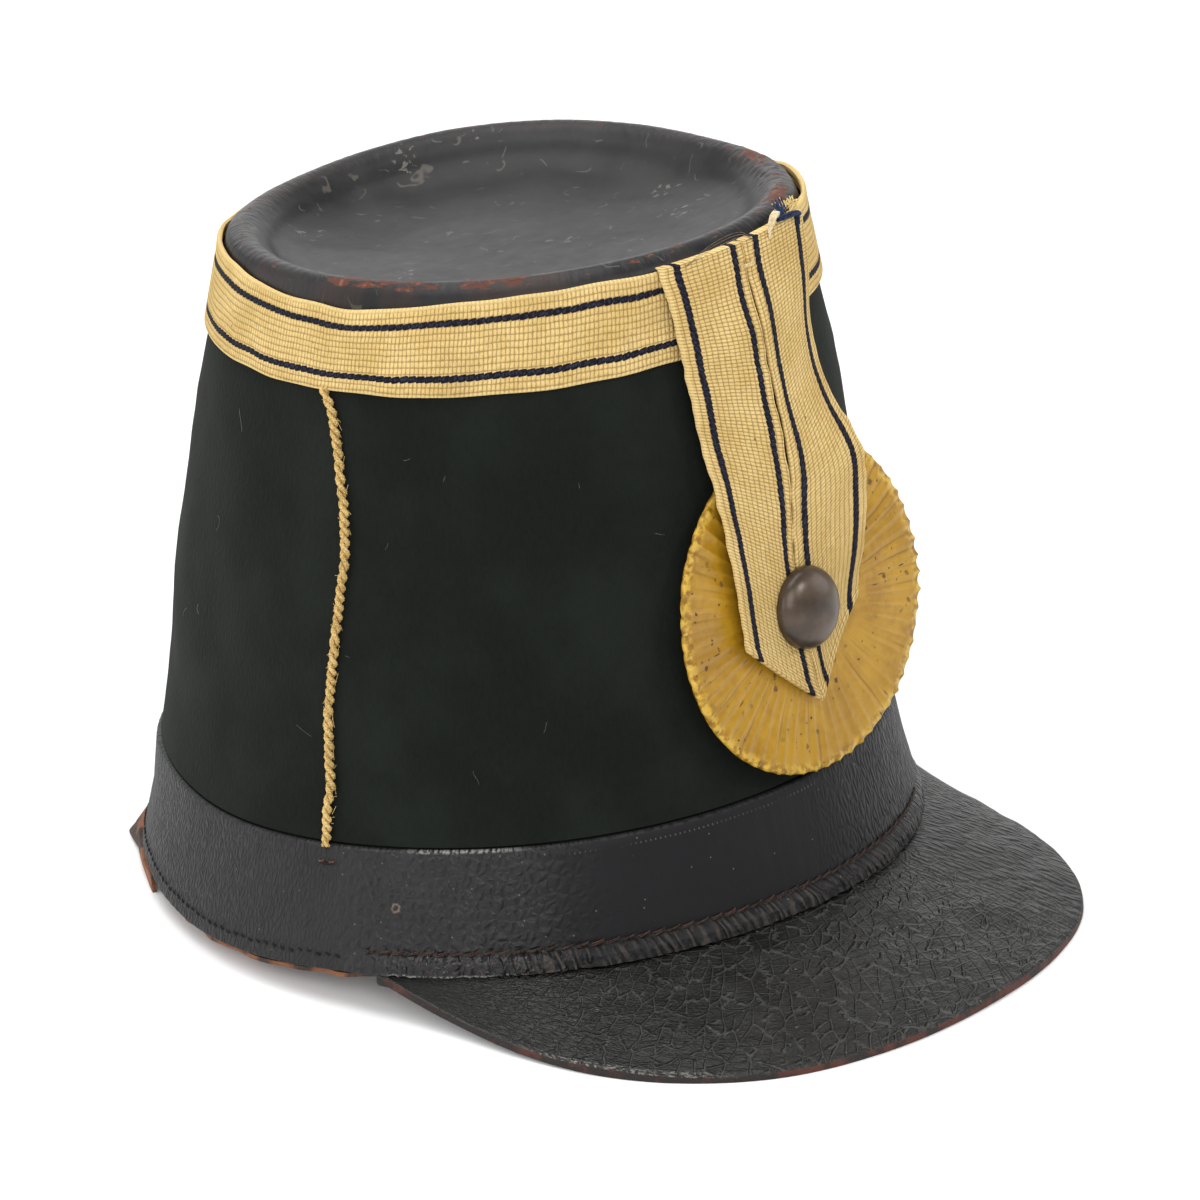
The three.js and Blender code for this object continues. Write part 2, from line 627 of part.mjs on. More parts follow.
const hat = new THREE.Group();
hat.add(
  pieceOf("crown_wall", crownWallGeometry(), FELT),
  pieceOf("crown_top", crownTopGeometry(), DULL_LEATHER),
  pieceOf("top_band", topBandGeometry(), STRAW_WEBBING),
  pieceOf("loop_strip_left", loopStripGeometry("left", LOOP_CORNER_LIFT), STRAW_WEBBING),
  pieceOf("loop_strip_right", loopStripGeometry("right", 0), STRAW_WEBBING),
  facingPiece("cockade", cockadeGeometry(), OCHRE_SHEET, COCKADE_CENTRE),
  facingPiece("button", buttonGeometry(), BRONZE, buttonSeat),
  pieceOf("side_cord_left", sideCordGeometry(1), STRAW_CORD),
  pieceOf("side_cord_right", sideCordGeometry(-1), STRAW_CORD),
  pieceOf("base_band", baseBandGeometry(), BAND_LEATHER),
  pieceOf("peak", peakGeometry(), CRACKED_LEATHER),
  pieceOf("sweatband", sweatbandGeometry(), BROWN_LEATHER),
);
hat.rotation.x = -PITCH;
hat.position.copy(RIM_CENTRE);

const kepi = new THREE.Group();
kepi.add(hat);

export default kepi;
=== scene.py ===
import functools
import logging
import math
from collections.abc import Callable, Sequence
from dataclasses import dataclass, field
from enum import Enum

import bmesh
import bpy
import numpy as np
from mathutils import Matrix, Vector


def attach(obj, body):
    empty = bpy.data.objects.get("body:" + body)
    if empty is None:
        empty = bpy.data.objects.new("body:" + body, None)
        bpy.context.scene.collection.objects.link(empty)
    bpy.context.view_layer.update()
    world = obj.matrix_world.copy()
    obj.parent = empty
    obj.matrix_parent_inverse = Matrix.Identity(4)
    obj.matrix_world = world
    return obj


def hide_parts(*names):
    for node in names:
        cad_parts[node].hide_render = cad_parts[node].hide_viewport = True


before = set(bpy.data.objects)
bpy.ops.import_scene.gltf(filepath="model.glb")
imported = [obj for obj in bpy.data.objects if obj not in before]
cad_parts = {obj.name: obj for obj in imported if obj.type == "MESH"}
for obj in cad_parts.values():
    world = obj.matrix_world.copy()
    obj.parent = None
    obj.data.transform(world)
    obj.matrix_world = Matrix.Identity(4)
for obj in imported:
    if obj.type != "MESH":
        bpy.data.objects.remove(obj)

LOG = logging.getLogger("kepi")
MM = 0.001  # every size below is in millimetres, and the scene is in metres
BODY = "root"
LAY = "lay"  # the UV map that holds where a point lies on its piece, in millimetres

Array = np.ndarray
Material = bpy.types.Material
Colour = tuple[float, float, float, float]
Pair = tuple[float, float]
Spot = tuple[float, float, float]
Place = Callable[[Array], Array]
Zone = tuple[float, float, float, float]  # where a mask starts, is whole, starts to fade and is gone


def rgb(red: float, green: float, blue: float) -> Colour:
    """An opaque linear colour."""
    return (red, green, blue, 1.0)


class Signal:
    """A socket of a finish's node tree that takes part in shader maths."""

    def __init__(self, sheet: "FinishSheet", socket: bpy.types.NodeSocket) -> None:
        """Keeps the sheet and its socket."""
        self.sheet = sheet
        self.socket = socket

    def _math(self, operation: str, first: object, second: object) -> "Signal":
        """Adds one Math node.

        Args:
            operation: the Math node's operation.
            first: its first value or signal.
            second: its second value or signal.

        Returns:
            The node's result.
        """
        return self.sheet.add("ShaderNodeMath", {"operation": operation}, {0: first, 1: second})

    def __add__(self, other: object) -> "Signal":
        """This plus other."""
        return self._math("ADD", self, other)

    __radd__ = __add__

    def __sub__(self, other: object) -> "Signal":
        """This minus other."""
        return self._math("SUBTRACT", self, other)

    def __rsub__(self, other: object) -> "Signal":
        """Other minus this."""
        return self._math("SUBTRACT", other, self)

    def __mul__(self, other: object) -> "Signal":
        """This times other."""
        return self._math("MULTIPLY", self, other)

    __rmul__ = __mul__

    def __truediv__(self, other: object) -> "Signal":
        """This over other."""
        return self._math("DIVIDE", self, other)

    def __pow__(self, other: object) -> "Signal":
        """This to the power of other."""
        return self._math("POWER", self, other)

    def __abs__(self) -> "Signal":
        """The size of this without its sign."""
        return self._math("ABSOLUTE", self, 0.0)

    def sine(self) -> "Signal":
        """The sine of this, in radians."""
        return self._math("SINE", self, 0.0)

    def cosine(self) -> "Signal":
        """The cosine of this, in radians."""
        return self._math("COSINE", self, 0.0)

    def fraction(self) -> "Signal":
        """What this is over the whole number below it."""
        return self._math("FRACT", self, 0.0)

    def larger(self, other: object) -> "Signal":
        """The larger of this and other."""
        return self._math("MAXIMUM", self, other)

    def smaller(self, other: object) -> "Signal":
        """The smaller of this and other."""
        return self._math("MINIMUM", self, other)

    def rising(self, low: float, high: float) -> "Signal":
        """A mask that goes smoothly from 0 at low to 1 at high.

        Args:
            low: where the mask is 0.
            high: where the mask is 1, above low.

        Returns:
            The mask.
        """
        settings = {"interpolation_type": "SMOOTHSTEP"}
        sockets = {"Value": self, "From Min": low, "From Max": high}
        return self.sheet.add("ShaderNodeMapRange", settings, sockets)

    def falling(self, low: float, high: float) -> "Signal":
        """A mask that goes smoothly from 1 at low to 0 at high."""
        return 1.0 - self.rising(low, high)

    def within(self, zone: Zone) -> "Signal":
        """A mask that is 1 within a zone."""
        return self.rising(*zone[:2]) * self.falling(*zone[2:])


class FinishSheet:
    """A material in the making: its node tree and the few kinds of node that finishes use."""

    def __init__(self, name: str) -> None:
        """Starts a material with one Principled shader."""
        self.material = bpy.data.materials.new(name)
        self.material.use_nodes = True
        self.nodes = self.material.node_tree.nodes
        self.links = self.material.node_tree.links
        self.shader = self.nodes["Principled BSDF"]

    def add(
        self,
        kind: str,
        settings: dict[str, object],
        sockets: dict[object, object],
        output: object = None,
    ) -> Signal:
        """Adds a node.

        Args:
            kind: the node's type.
            settings: its properties.
            sockets: values or signals by the input's index, identifier or name.
            output: the wanted output's identifier or name, or else the first one that is in use.

        Returns:
            The wanted output.
        """
        node = self.nodes.new(kind)
        for key, value in settings.items():
            setattr(node, key, value)
        for key, value in sockets.items():
            self._feed(self._socket(node.inputs, key), value)
        if output is None:
            return Signal(self, next(s for s in node.outputs if s.enabled))
        return Signal(self, self._socket(node.outputs, output))

    def _socket(self, sockets: bpy.types.bpy_prop_collection, key: object) -> bpy.types.NodeSocket:
        """Finds a socket by index, identifier or name."""
        if isinstance(key, int):
            return sockets[key]
        return next(s for s in sockets if key == s.identifier or (s.enabled and key == s.name))

    def _feed(self, socket: bpy.types.NodeSocket, value: object) -> None:
        """Links a signal to a socket, or sets its value."""
        if isinstance(value, Signal):
            self.links.new(value.socket, socket)
        else:
            socket.default_value = value

    def place(self) -> Signal:
        """The point's place on the object, in millimetres."""
        metres = self.add("ShaderNodeTexCoord", {}, {}, "Object")
        return self.scaled(metres, 1.0 / MM)

    def lay(self) -> tuple[Signal, Signal, Signal]:
        """Where the point lies on its piece, in millimetres.

        Returns:
            The place as a vector, and its two parts along and across the piece.
        """
        spot = self.add("ShaderNodeUVMap", {"uv_map": LAY}, {})
        return spot, self.part(spot, "X"), self.part(spot, "Y")

    def part(self, vector: Signal, axis: str) -> Signal:
        """One part of a vector, X, Y or Z."""
        return self.add("ShaderNodeSeparateXYZ", {}, {0: vector}, axis)

    def scaled(self, vector: Signal, factor: float) -> Signal:
        """A vector times a number."""
        return self.add("ShaderNodeVectorMath", {"operation": "SCALE"}, {0: vector, "Scale": factor})

    def stretched(self, vector: Signal, factors: tuple[float, float, float]) -> Signal:
        """A vector times another, part by part."""
        return self.add("ShaderNodeVectorMath", {"operation": "MULTIPLY"}, {0: vector, 1: factors})

    def shifted(self, vector: Signal, other: object) -> Signal:
        """A vector plus another."""
        return self.add("ShaderNodeVectorMath", {"operation": "ADD"}, {0: vector, 1: other})

    def joined(self, x: object, y: object, z: object = 0.0) -> Signal:
        """A vector from its parts."""
        return self.add("ShaderNodeCombineXYZ", {}, {0: x, 1: y, 2: z})

    def cloud(self, spot: Signal, size: float, detail: float = 2.0, warp: float = 0.0) -> Signal:
        """Soft noise.

        Args:
            spot: the point, in millimetres.
            size: the size of its lumps, in millimetres.
            detail: how many finer layers it has.
            warp: how far it is distorted.

        Returns:
            A value round one half.
        """
        sockets = {"Vector": spot, "Scale": 1.0 / size, "Detail": detail, "Distortion": warp}
        return self.add("ShaderNodeTexNoise", {}, sockets)

    def drift(self, spot: Signal, size: float, reach: float, flat: bool = True) -> Signal:
        """A point moved about by soft noise, for lines that aren't straight.

        Args:
            spot: the point, in millimetres.
            size: the size of the noise's lumps.
            reach: how far the point is moved.
            flat: whether the point lies in a plane.

        Returns:
            The moved point.
        """
        sockets = {"Vector": spot, "Scale": 1.0 / size, "Detail": 2.0}
        settings = {"noise_dimensions": "2D" if flat else "3D"}
        colour = self.add("ShaderNodeTexNoise", settings, sockets, "Color")
        centred = self.shifted(colour, (-0.5, -0.5, -0.5))
        return self.shifted(spot, self.scaled(centred, 2.0 * reach))

    def seams(self, spot: Signal, size: float) -> Signal:
        """The distance to the borders of irregular flat cells, in shares of a cell."""
        settings = {"feature": "DISTANCE_TO_EDGE", "voronoi_dimensions": "2D"}
        sockets = {"Vector": spot, "Scale": 1.0 / size, "Randomness": 1.0}
        return self.add("ShaderNodeTexVoronoi", settings, sockets)

    def specks(
        self, spot: Signal, spacing: float, radius: float, share: float, flat: bool = False
    ) -> Signal:
        """A mask of small scattered specks.

        Args:
            spot: the point, in millimetres.
            spacing: how far apart they may lie.
            radius: their radius.
            share: the share of the places that has one.
            flat: whether the point lies in a plane.

        Returns:
            The mask.
        """
        sockets = {"Vector": spot, "Scale": 1.0 / spacing, "Randomness": 1.0}
        settings = {"feature": "F1", "voronoi_dimensions": "2D" if flat else "3D"}
        far = self.add("ShaderNodeTexVoronoi", settings, sockets, "Distance") * spacing
        drawn = self.add("ShaderNodeTexVoronoi", settings, sockets, "Color")
        chosen = self.part(drawn, "X").rising(1.0 - share - 0.002, 1.0 - share + 0.002)
        return far.falling(0.5 * radius, radius) * chosen

    def near(self, spot: Signal, centres: Sequence[Spot], radius: float) -> Signal:
        """A soft round mask about each of a few points.

        Args:
            spot: the point, in millimetres.
            centres: the points.
            radius: how far the mask reaches about each.

        Returns:
            The mask.
        """
        masks = []
        for centre in centres:
            sockets = {0: spot, 1: centre}
            far = self.add("ShaderNodeVectorMath", {"operation": "DISTANCE"}, sockets, "Value")
            masks.append(far.falling(0.25 * radius, radius))
        return functools.reduce(Signal.larger, masks)

    def blend(self, factor: object, first: object, second: object) -> Signal:
        """Goes from one colour to another.

        Args:
            factor: 0 gives the first and 1 the second.
            first: a colour or a signal.
            second: a colour or a signal.

        Returns:
            The mixed colour.
        """
        sockets = {"Factor_Float": factor, "A_Color": first, "B_Color": second}
        return self.add("ShaderNodeMix", {"data_type": "RGBA"}, sockets, "Result_Color")

    def bump(self, height: Signal, depth: float) -> Signal:
        """A surface normal from a height.

        Args:
            height: the height, from 0 to 1.
            depth: how many millimetres a height of 1 stands for.

        Returns:
            The normal.
        """
        sockets = {"Height": height, "Distance": depth * MM, "Strength": 1.0}
        return self.add("ShaderNodeBump", {}, sockets)

    def finish(
        self, colour: object, steady: dict[str, object], normal: object = None, rough: object = None
    ) -> Material:
        """Feeds the shader.

        Args:
            colour: the colour.
            steady: other sockets that are the same all over, by name.
            normal: the normal, where it is bumped.
            rough: the roughness, where it changes.

        Returns:
            The finished material.
        """
        fed = {"Base Color": colour, "Roughness": rough, "Normal": normal} | steady
        for name, value in fed.items():
            if value is not None:
                self._feed(self.shader.inputs[name], value)
        return self.material


class Ending(Enum):
    """How a curve through a table ends."""

    STRAIGHT = "straight"
    LEVEL = "level"
    JOINED = "joined"


class Side(Enum):
    """A side of the hat, as its wearer has it."""

    LEFT = 1
    RIGHT = -1


@dataclass(frozen=True)
class Curve:
    """A smooth curve through a short table of places and values."""

    rows: tuple[Pair, ...]
    start: Ending = Ending.STRAIGHT
    end: Ending = Ending.STRAIGHT

    def at(self, place: object) -> Array:
        """Reads the curve.

        Args:
            place: one place or many.

        Returns:
            The value at each place.
        """
        xs, ys = np.array(self.rows, dtype=float).T
        ends = {
            Ending.STRAIGHT: ((xs[1], ys[1]), (xs[-2], ys[-2])),
            Ending.LEVEL: ((2 * xs[0] - xs[1], ys[1]), (2 * xs[-1] - xs[-2], ys[-2])),
            Ending.JOINED: ((xs[0] + xs[-2] - xs[-1], ys[-2]), (xs[-1] + xs[1] - xs[0], ys[1])),
        }
        before, after = ends[self.start][0], ends[self.end][1]
        place = np.clip(np.asarray(place, dtype=float), xs[0], xs[-1])
        at = np.clip(np.searchsorted(xs, place, side="right"), 1, len(xs) - 1)
        xs, ys = np.r_[before[0], xs, after[0]], np.r_[before[1], ys, after[1]]
        x0, x1, x2, x3 = (xs[at + k] for k in (-1, 0, 1, 2))
        y0, y1, y2, y3 = (ys[at + k] for k in (-1, 0, 1, 2))
        span = x2 - x1
        wp = 0.5 * span / (x1 - x0)
        wn = 0.5 * span / (x3 - x2)
        p = (place - x1) / span
        p2, p3 = p * p, p * p * p
        first = (1 + wp) * p3 - (1.5 + 2 * wp) * p2 + (wp - 0.5) * p + 1
        second = -(1 + wn) * p3 + (1.5 + wn) * p2 + 0.5 * p
        return (2 * p2 - p3 - p) * wp * y0 + first * y1 + second * y2 + (p3 - p2) * wn * y3


def eased(value: Array, low: float, high: float) -> Array:
    """Goes smoothly from 0 at low to 1 at high."""
    share = np.clip((value - low) / (high - low), 0.0, 1.0)
    return share * share * (3.0 - 2.0 * share)


def within(value: Array, zone: Zone) -> Array:
    """Is 1 within a zone and 0 outside it."""
    return eased(value, *zone[:2]) * (1.0 - eased(value, *zone[2:]))


def bell(value: Array, middle: float, reach: float) -> Array:
    """Is 1 at the middle and fades away on both sides of it."""
    return np.exp(-(((value - middle) / reach) ** 2))


@dataclass(frozen=True)
class Ripple:
    """A smooth unevenness made of waves whose ways, lengths and phases come from a seed."""

    seed: int
    length: float
    waves: int = 12

    def at(self, *spots: Array) -> Array:
        """Reads the unevenness.

        Args:
            spots: the coordinates, each an array.

        Returns:
            Values mostly between -1 and 1.
        """
        draw = np.random.default_rng(self.seed)
        total = np.zeros_like(spots[0], dtype=float)
        for _ in range(self.waves):
            way = draw.normal(size=len(spots))
            way *= 2.0 * math.pi / (self.length * draw.uniform(0.6, 1.7) * np.linalg.norm(way))
            total += np.sin(sum(w * s for w, s in zip(way, spots)) + draw.uniform(0.0, 2.0 * math.pi))
        return total / math.sqrt(2.0 * self.waves)


@dataclass(frozen=True)
class HatForm:
    """The form that every piece is bent to: the hat's sections, its rim and its stance."""

    pitch: float = math.radians(4.3)
    rim_centre: tuple[float, float, float] = (0.0, 24.1, 7.0)
    height: float = 160.5
    radius: Curve = Curve(((0, 99.9), (0.22, 91), (0.5, 85.3), (0.8, 76.8), (1, 71.2)))
    forward: Curve = Curve(((0, 0), (0.22, 1.4), (0.5, 4.1), (0.8, 8.2), (1, 11.6)))
    rim_oval: float = 1.02
    top_oval: float = 1.11
    front_widening: float = 0.08
    lean: float = math.radians(4.4)
    rim_wave: Curve = Curve(
        ((0, 0), (62, 0), (98, -1.3), (131, 3.2), (160, 0.2), (180, 0)), Ending.LEVEL, Ending.LEVEL
    )
    wave_reach: float = 70.0
    top_drop: Curve = Curve(
        (
            (-180, 1.9), (-158, 1.5), (-138, 0.3), (-110, 0), (0, 0), (22, 0), (45, 1.1),
            (62, 2), (80, 2.2), (100, 1.1), (118, 0), (140, 0), (158, 1), (180, 1.9),
        ), Ending.JOINED, Ending.JOINED,
    )
    top_tuck: Curve = Curve(
        (
            (-180, 1.2), (-158, 0.8), (-138, 0.2), (-110, 0), (0, 0), (22, 0.4), (45, 3.2),
            (62, 3.1), (80, 2.5), (100, 0.6), (118, 0), (140, 0), (158, 0.6), (180, 1.2),
        ), Ending.JOINED, Ending.JOINED,
    )
    top_trim: Pair = (120.0, 160.0)
    foot_tuck: Curve = Curve(
        (
            (-180, 0.3), (-165, 0.9), (-137, 2), (-108, 0.6), (-90, 0), (0, 0),
            (16, 0.2), (42, 0.9), (66, 0.3), (88, 0), (150, 0), (180, 0.3),
        ), Ending.JOINED, Ending.JOINED,
    )
    foot_trim: Pair = (14.8, 29.6)
    gap: float = 0.35

    def share(self, height: Array) -> Array:
        """The share of the crown's height, from 0 to 1."""
        return np.clip(np.asarray(height, dtype=float) / self.height, 0.0, 1.0)

    def half_width(self, height: Array, offset: Array) -> Array:
        """Half the hat's width at a height, with the surface moved out by an offset."""
        share = self.share(height)
        oval = self.rim_oval + (self.top_oval - self.rim_oval) * share
        return 2.0 * (self.radius.at(share) + offset) / (1.0 + oval)

    def point(self, angle: Array, height: Array, offset: Array) -> Array:
        """A point of the hat before it is pitched.

        Args:
            angle: from the front towards the wearer's left, in radians.
            height: over the rim.
            offset: out from the felt's face; minus the mean radius is the middle.

        Returns:
            The points, one a row.
        """
        share = self.share(height)
        oval = self.rim_oval + (self.top_oval - self.rim_oval) * share
        left = np.degrees(np.arctan2(np.sin(angle), np.cos(angle)))
        from_middle = np.clip(1.0 + offset / self.radius.at(share), 0.0, 1.0)
        at_top = np.clip((height - self.top_trim[0]) / np.ptp(self.top_trim), 0.0, 1.0) * from_middle
        at_foot = 1.0 - np.clip((height - self.foot_trim[0]) / np.ptp(self.foot_trim), 0.0, 1.0)
        tuck = self.top_tuck.at(left) * at_top + self.foot_tuck.at(left) * at_foot
        half = self.half_width(height, offset - tuck)
        x = half * np.sin(angle) * (1.0 + self.front_widening * np.cos(angle))
        y = -half * oval * np.cos(angle) - self.forward.at(share)
        wave = self.rim_wave.at(np.abs(left)) * np.clip(1.0 - height / self.wave_reach, 0.0, 1.0)
        rise = wave + x * share * math.sin(self.lean) - self.top_drop.at(left) * at_top
        return np.stack([x, y, height + rise], axis=-1)

    def front_point(self, side: Array, height: Array, offset: Array) -> Array:
        """A point of the hat's front at a side, a height and an offset."""
        half = self.half_width(height, offset)
        angle = np.zeros_like(half)
        for _ in range(4):
            angle = np.arcsin(side / (half * (1.0 + self.front_widening * np.cos(angle))))
        return self.point(angle, height, offset)

    def on_floor(self, points: Array) -> Array:
        """Flattens points onto the floor where they would reach below it."""
        points = points.copy()
        floor = (points[:, 1] * math.sin(self.pitch) - self.rim_centre[2]) / math.cos(self.pitch)
        points[:, 2] = np.maximum(points[:, 2], floor)
        return points

    def stand(self, points: Array) -> Array:
        """Pitches points of the hat as it stands, in metres."""
        turn = np.array(Matrix.Rotation(-self.pitch, 3, "X"))
        return (points @ turn.T + np.array(self.rim_centre)) * MM


HAT = HatForm()


class Workpiece:
    """A mesh in the making: modelled flat or spun, given its lay, and bent into place."""

    def __init__(self) -> None:
        """Starts with an empty mesh."""
        self.bm = bmesh.new()
        self.lay_map = self.bm.loops.layers.uv.new(LAY)

    def spin(self, section: Sequence[Pair], steps: int, closed: bool = True) -> None:
        """Spins a section about the upright axis, from the back of the hat round to it.

        Args:
            section: radius and height of each of its points.
            steps: how many steps the turn has, a multiple of 8.
            closed: whether the section runs back to its first point.
        """
        verts = [self.bm.verts.new((0.0, radius, height)) for radius, height in section]
        pairs = list(zip(verts, verts[1:] + verts[:1])) if closed else list(zip(verts, verts[1:]))
        edges = [self.bm.edges.new(pair) for pair in pairs]
        sector = 2.0 * math.pi / 8
        bmesh.ops.spin(
            self.bm, geom=verts + edges, axis=(0, 0, 1), cent=(0, 0, 0), angle=sector,
            steps=steps // 8, use_merge=False, use_duplicate=False,
        )
        for turn in (sector, 2.0 * sector, 4.0 * sector):
            copied = bmesh.ops.duplicate(self.bm, geom=[*self.bm.verts, *self.bm.edges, *self.bm.faces])
            moved = [item for item in copied["geom"] if isinstance(item, bmesh.types.BMVert)]
            bmesh.ops.rotate(self.bm, cent=(0, 0, 0), matrix=Matrix.Rotation(turn, 3, "Z"), verts=moved)
        bmesh.ops.remove_doubles(self.bm, verts=self.bm.verts, dist=1e-4)
        bmesh.ops.recalc_face_normals(self.bm, faces=self.bm.faces)

    def slab(self, size: tuple[float, float, float], cells: tuple[int, int], edge: float) -> None:
        """A flat slab with rounded edges, one corner at the origin.

        Args:
            size: its width, length and thickness.
            cells: how many cells it has across and along.
            edge: the radius of its edges.
        """
        width, length, thickness = size
        place = Matrix.Translation((width / 2, length / 2, 0)) @ Matrix.Diagonal((width, length, 1, 1))
        bmesh.ops.create_grid(
            self.bm, x_segments=cells[0], y_segments=cells[1], size=0.5, matrix=place
        )
        grown = bmesh.ops.extrude_face_region(self.bm, geom=self.bm.faces[:], use_keep_orig=True)
        top = [item for item in grown["geom"] if isinstance(item, bmesh.types.BMVert)]
        bmesh.ops.translate(self.bm, verts=top, vec=(0, 0, thickness))
        bmesh.ops.recalc_face_normals(self.bm, faces=self.bm.faces)
        sharp = [e for e in self.bm.edges if e.calc_face_angle(0.0) > math.radians(60)]
        bmesh.ops.bevel(
            self.bm, geom=sharp, offset=edge, affect="EDGES", segments=3, profile=0.5, material=-1
        )

    def lay_round(self, girth: float) -> None:
        """Lays a spun piece out by its turn, on a radius, and its height.

        Args:
            girth: the radius on which a turn is measured.
        """
        for face in self.bm.faces:
            turns = [math.atan2(loop.vert.co.x, -loop.vert.co.y) for loop in face.loops]
            torn = max(turns) - min(turns) > math.pi
            for loop, turn in zip(face.loops, turns):
                whole = turn + 2.0 * math.pi if torn and turn < 0 else turn
                loop[self.lay_map].uv = (whole * girth, loop.vert.co.z)

    def lay_flat(self) -> None:
        """Lays a flat piece out as it lies: along it, and across it."""
        for face in self.bm.faces:
            for loop in face.loops:
                loop[self.lay_map].uv = (loop.vert.co.y, loop.vert.co.x)

    def bend(self, place: Place) -> None:
        """Moves every vertex to where a function of all of them puts it."""
        spots = np.array([vert.co for vert in self.bm.verts], dtype=float)
        for vert, spot in zip(self.bm.verts, place(spots)):
            vert.co = spot

    def bend_round(self, place: Callable[[Array, Array, Array], Array]) -> None:
        """Bends a spun piece by its turn from the front, its height and its radius."""

        def by_turn(spots: Array) -> Array:
            """Reads the turn, the height and the radius of each vertex."""
            turn = np.arctan2(spots[:, 0], -spots[:, 1])
            return place(turn, spots[:, 2], np.hypot(spots[:, 0], spots[:, 1]))

        self.bend(by_turn)

    def finish(self, spec: "PieceSpec") -> None:
        """Makes the mesh a piece of the hat.

        Args:
            spec: its name, finishes and place in the frame.
        """
        mesh = bpy.data.meshes.new(spec.name)
        self.bm.to_mesh(mesh)
        self.bm.free()
        spec.attach(mesh)


@dataclass(frozen=True)
class PieceSpec:
    """What a piece is called, what it is finished with and what it stands for."""

    name: str
    slot: str
    finishes: tuple[Material, ...]
    node: str | None = None
    crease: float = 55.0

    def attach(self, mesh: bpy.types.Mesh) -> None:
        """Makes an object of a mesh and ties it to the frame.

        Args:
            mesh: the finished mesh, in place.
        """
        for finish in self.finishes:
            mesh.materials.append(finish)
        mesh.shade_smooth()
        mesh.set_sharp_from_angle(angle=math.radians(self.crease))
        piece = bpy.data.objects.new(self.name, mesh)
        bpy.context.scene.collection.objects.link(piece)
        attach(piece, BODY)
        if self.node is not None:
            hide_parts(self.node)
        LOG.info("%s: %d faces", self.name, len(mesh.polygons))


class Strands:
    """A bundle of round strands, each along its own path, joined into one mesh."""

    def __init__(self, sides: int = 6) -> None:
        """Starts an empty bundle of strands with so many sides."""
        self.curve = bpy.data.curves.new("strands", "CURVE")
        self.curve.dimensions = "3D"
        self.curve.bevel_depth = 1.0
        self.curve.bevel_resolution = max(0, sides // 2 - 2)
        self.curve.use_fill_caps = True

    def add(self, path: Array, radius: object) -> None:
        """Adds a strand.

        Args:
            path: its points in metres, one a row.
            radius: its radius in millimetres, one for all or one for each point.
        """
        spline = self.curve.splines.new("POLY")
        spline.points.add(len(path) - 1)
        radii = np.broadcast_to(np.asarray(radius, dtype=float), (len(path),))
        for point, spot, size in zip(spline.points, path, radii):
            point.co = (*spot, 1.0)
            point.radius = size * MM
        spline.use_smooth = True

    def finish(self, spec: PieceSpec) -> None:
        """Makes the bundle a piece of the hat.

        Args:
            spec: its name, finishes and place in the frame.
        """
        shape = bpy.data.objects.new("strands", self.curve)
        bpy.context.scene.collection.objects.link(shape)
        bpy.context.view_layer.update()
        mesh = bpy.data.meshes.new_from_object(shape.evaluated_get(bpy.context.evaluated_depsgraph_get()))
        mesh.name = spec.name
        bpy.data.objects.remove(shape)
        bpy.data.curves.remove(self.curve)
        mesh.materials.clear()
        spec.attach(mesh)


@dataclass(frozen=True)
class FeltFinish:
    """Thick fulled felt, dark bottle green, with lint on it."""

    deep: Colour = rgb(0.0068, 0.0084, 0.0068)
    raised: Colour = rgb(0.0156, 0.0188, 0.0154)
    lint: Colour = rgb(0.24, 0.24, 0.2)

    def material(self) -> Material:
        """Makes the finish."""
        sheet = FinishSheet("felt")
        spot = sheet.place()
        mottle = sheet.cloud(spot, 26.0, 3.0).rising(0.35, 0.7)
        nap = sheet.cloud(sheet.stretched(spot, (1.0, 1.0, 0.5)), 0.9, 3.0)
        colour = sheet.blend(mottle * 0.5 + nap * 0.5, self.deep, self.raised)
        dust = sheet.specks(spot, 11.0, 0.34, 0.22)
        colour = sheet.blend(dust * 0.6, colour, self.lint)
        normal = sheet.bump(nap, 0.2)
        steady = {"Roughness": 1.0, "Specular IOR Level": 0.05, "Sheen Weight": 0.04}
        return sheet.finish(colour, steady, normal)


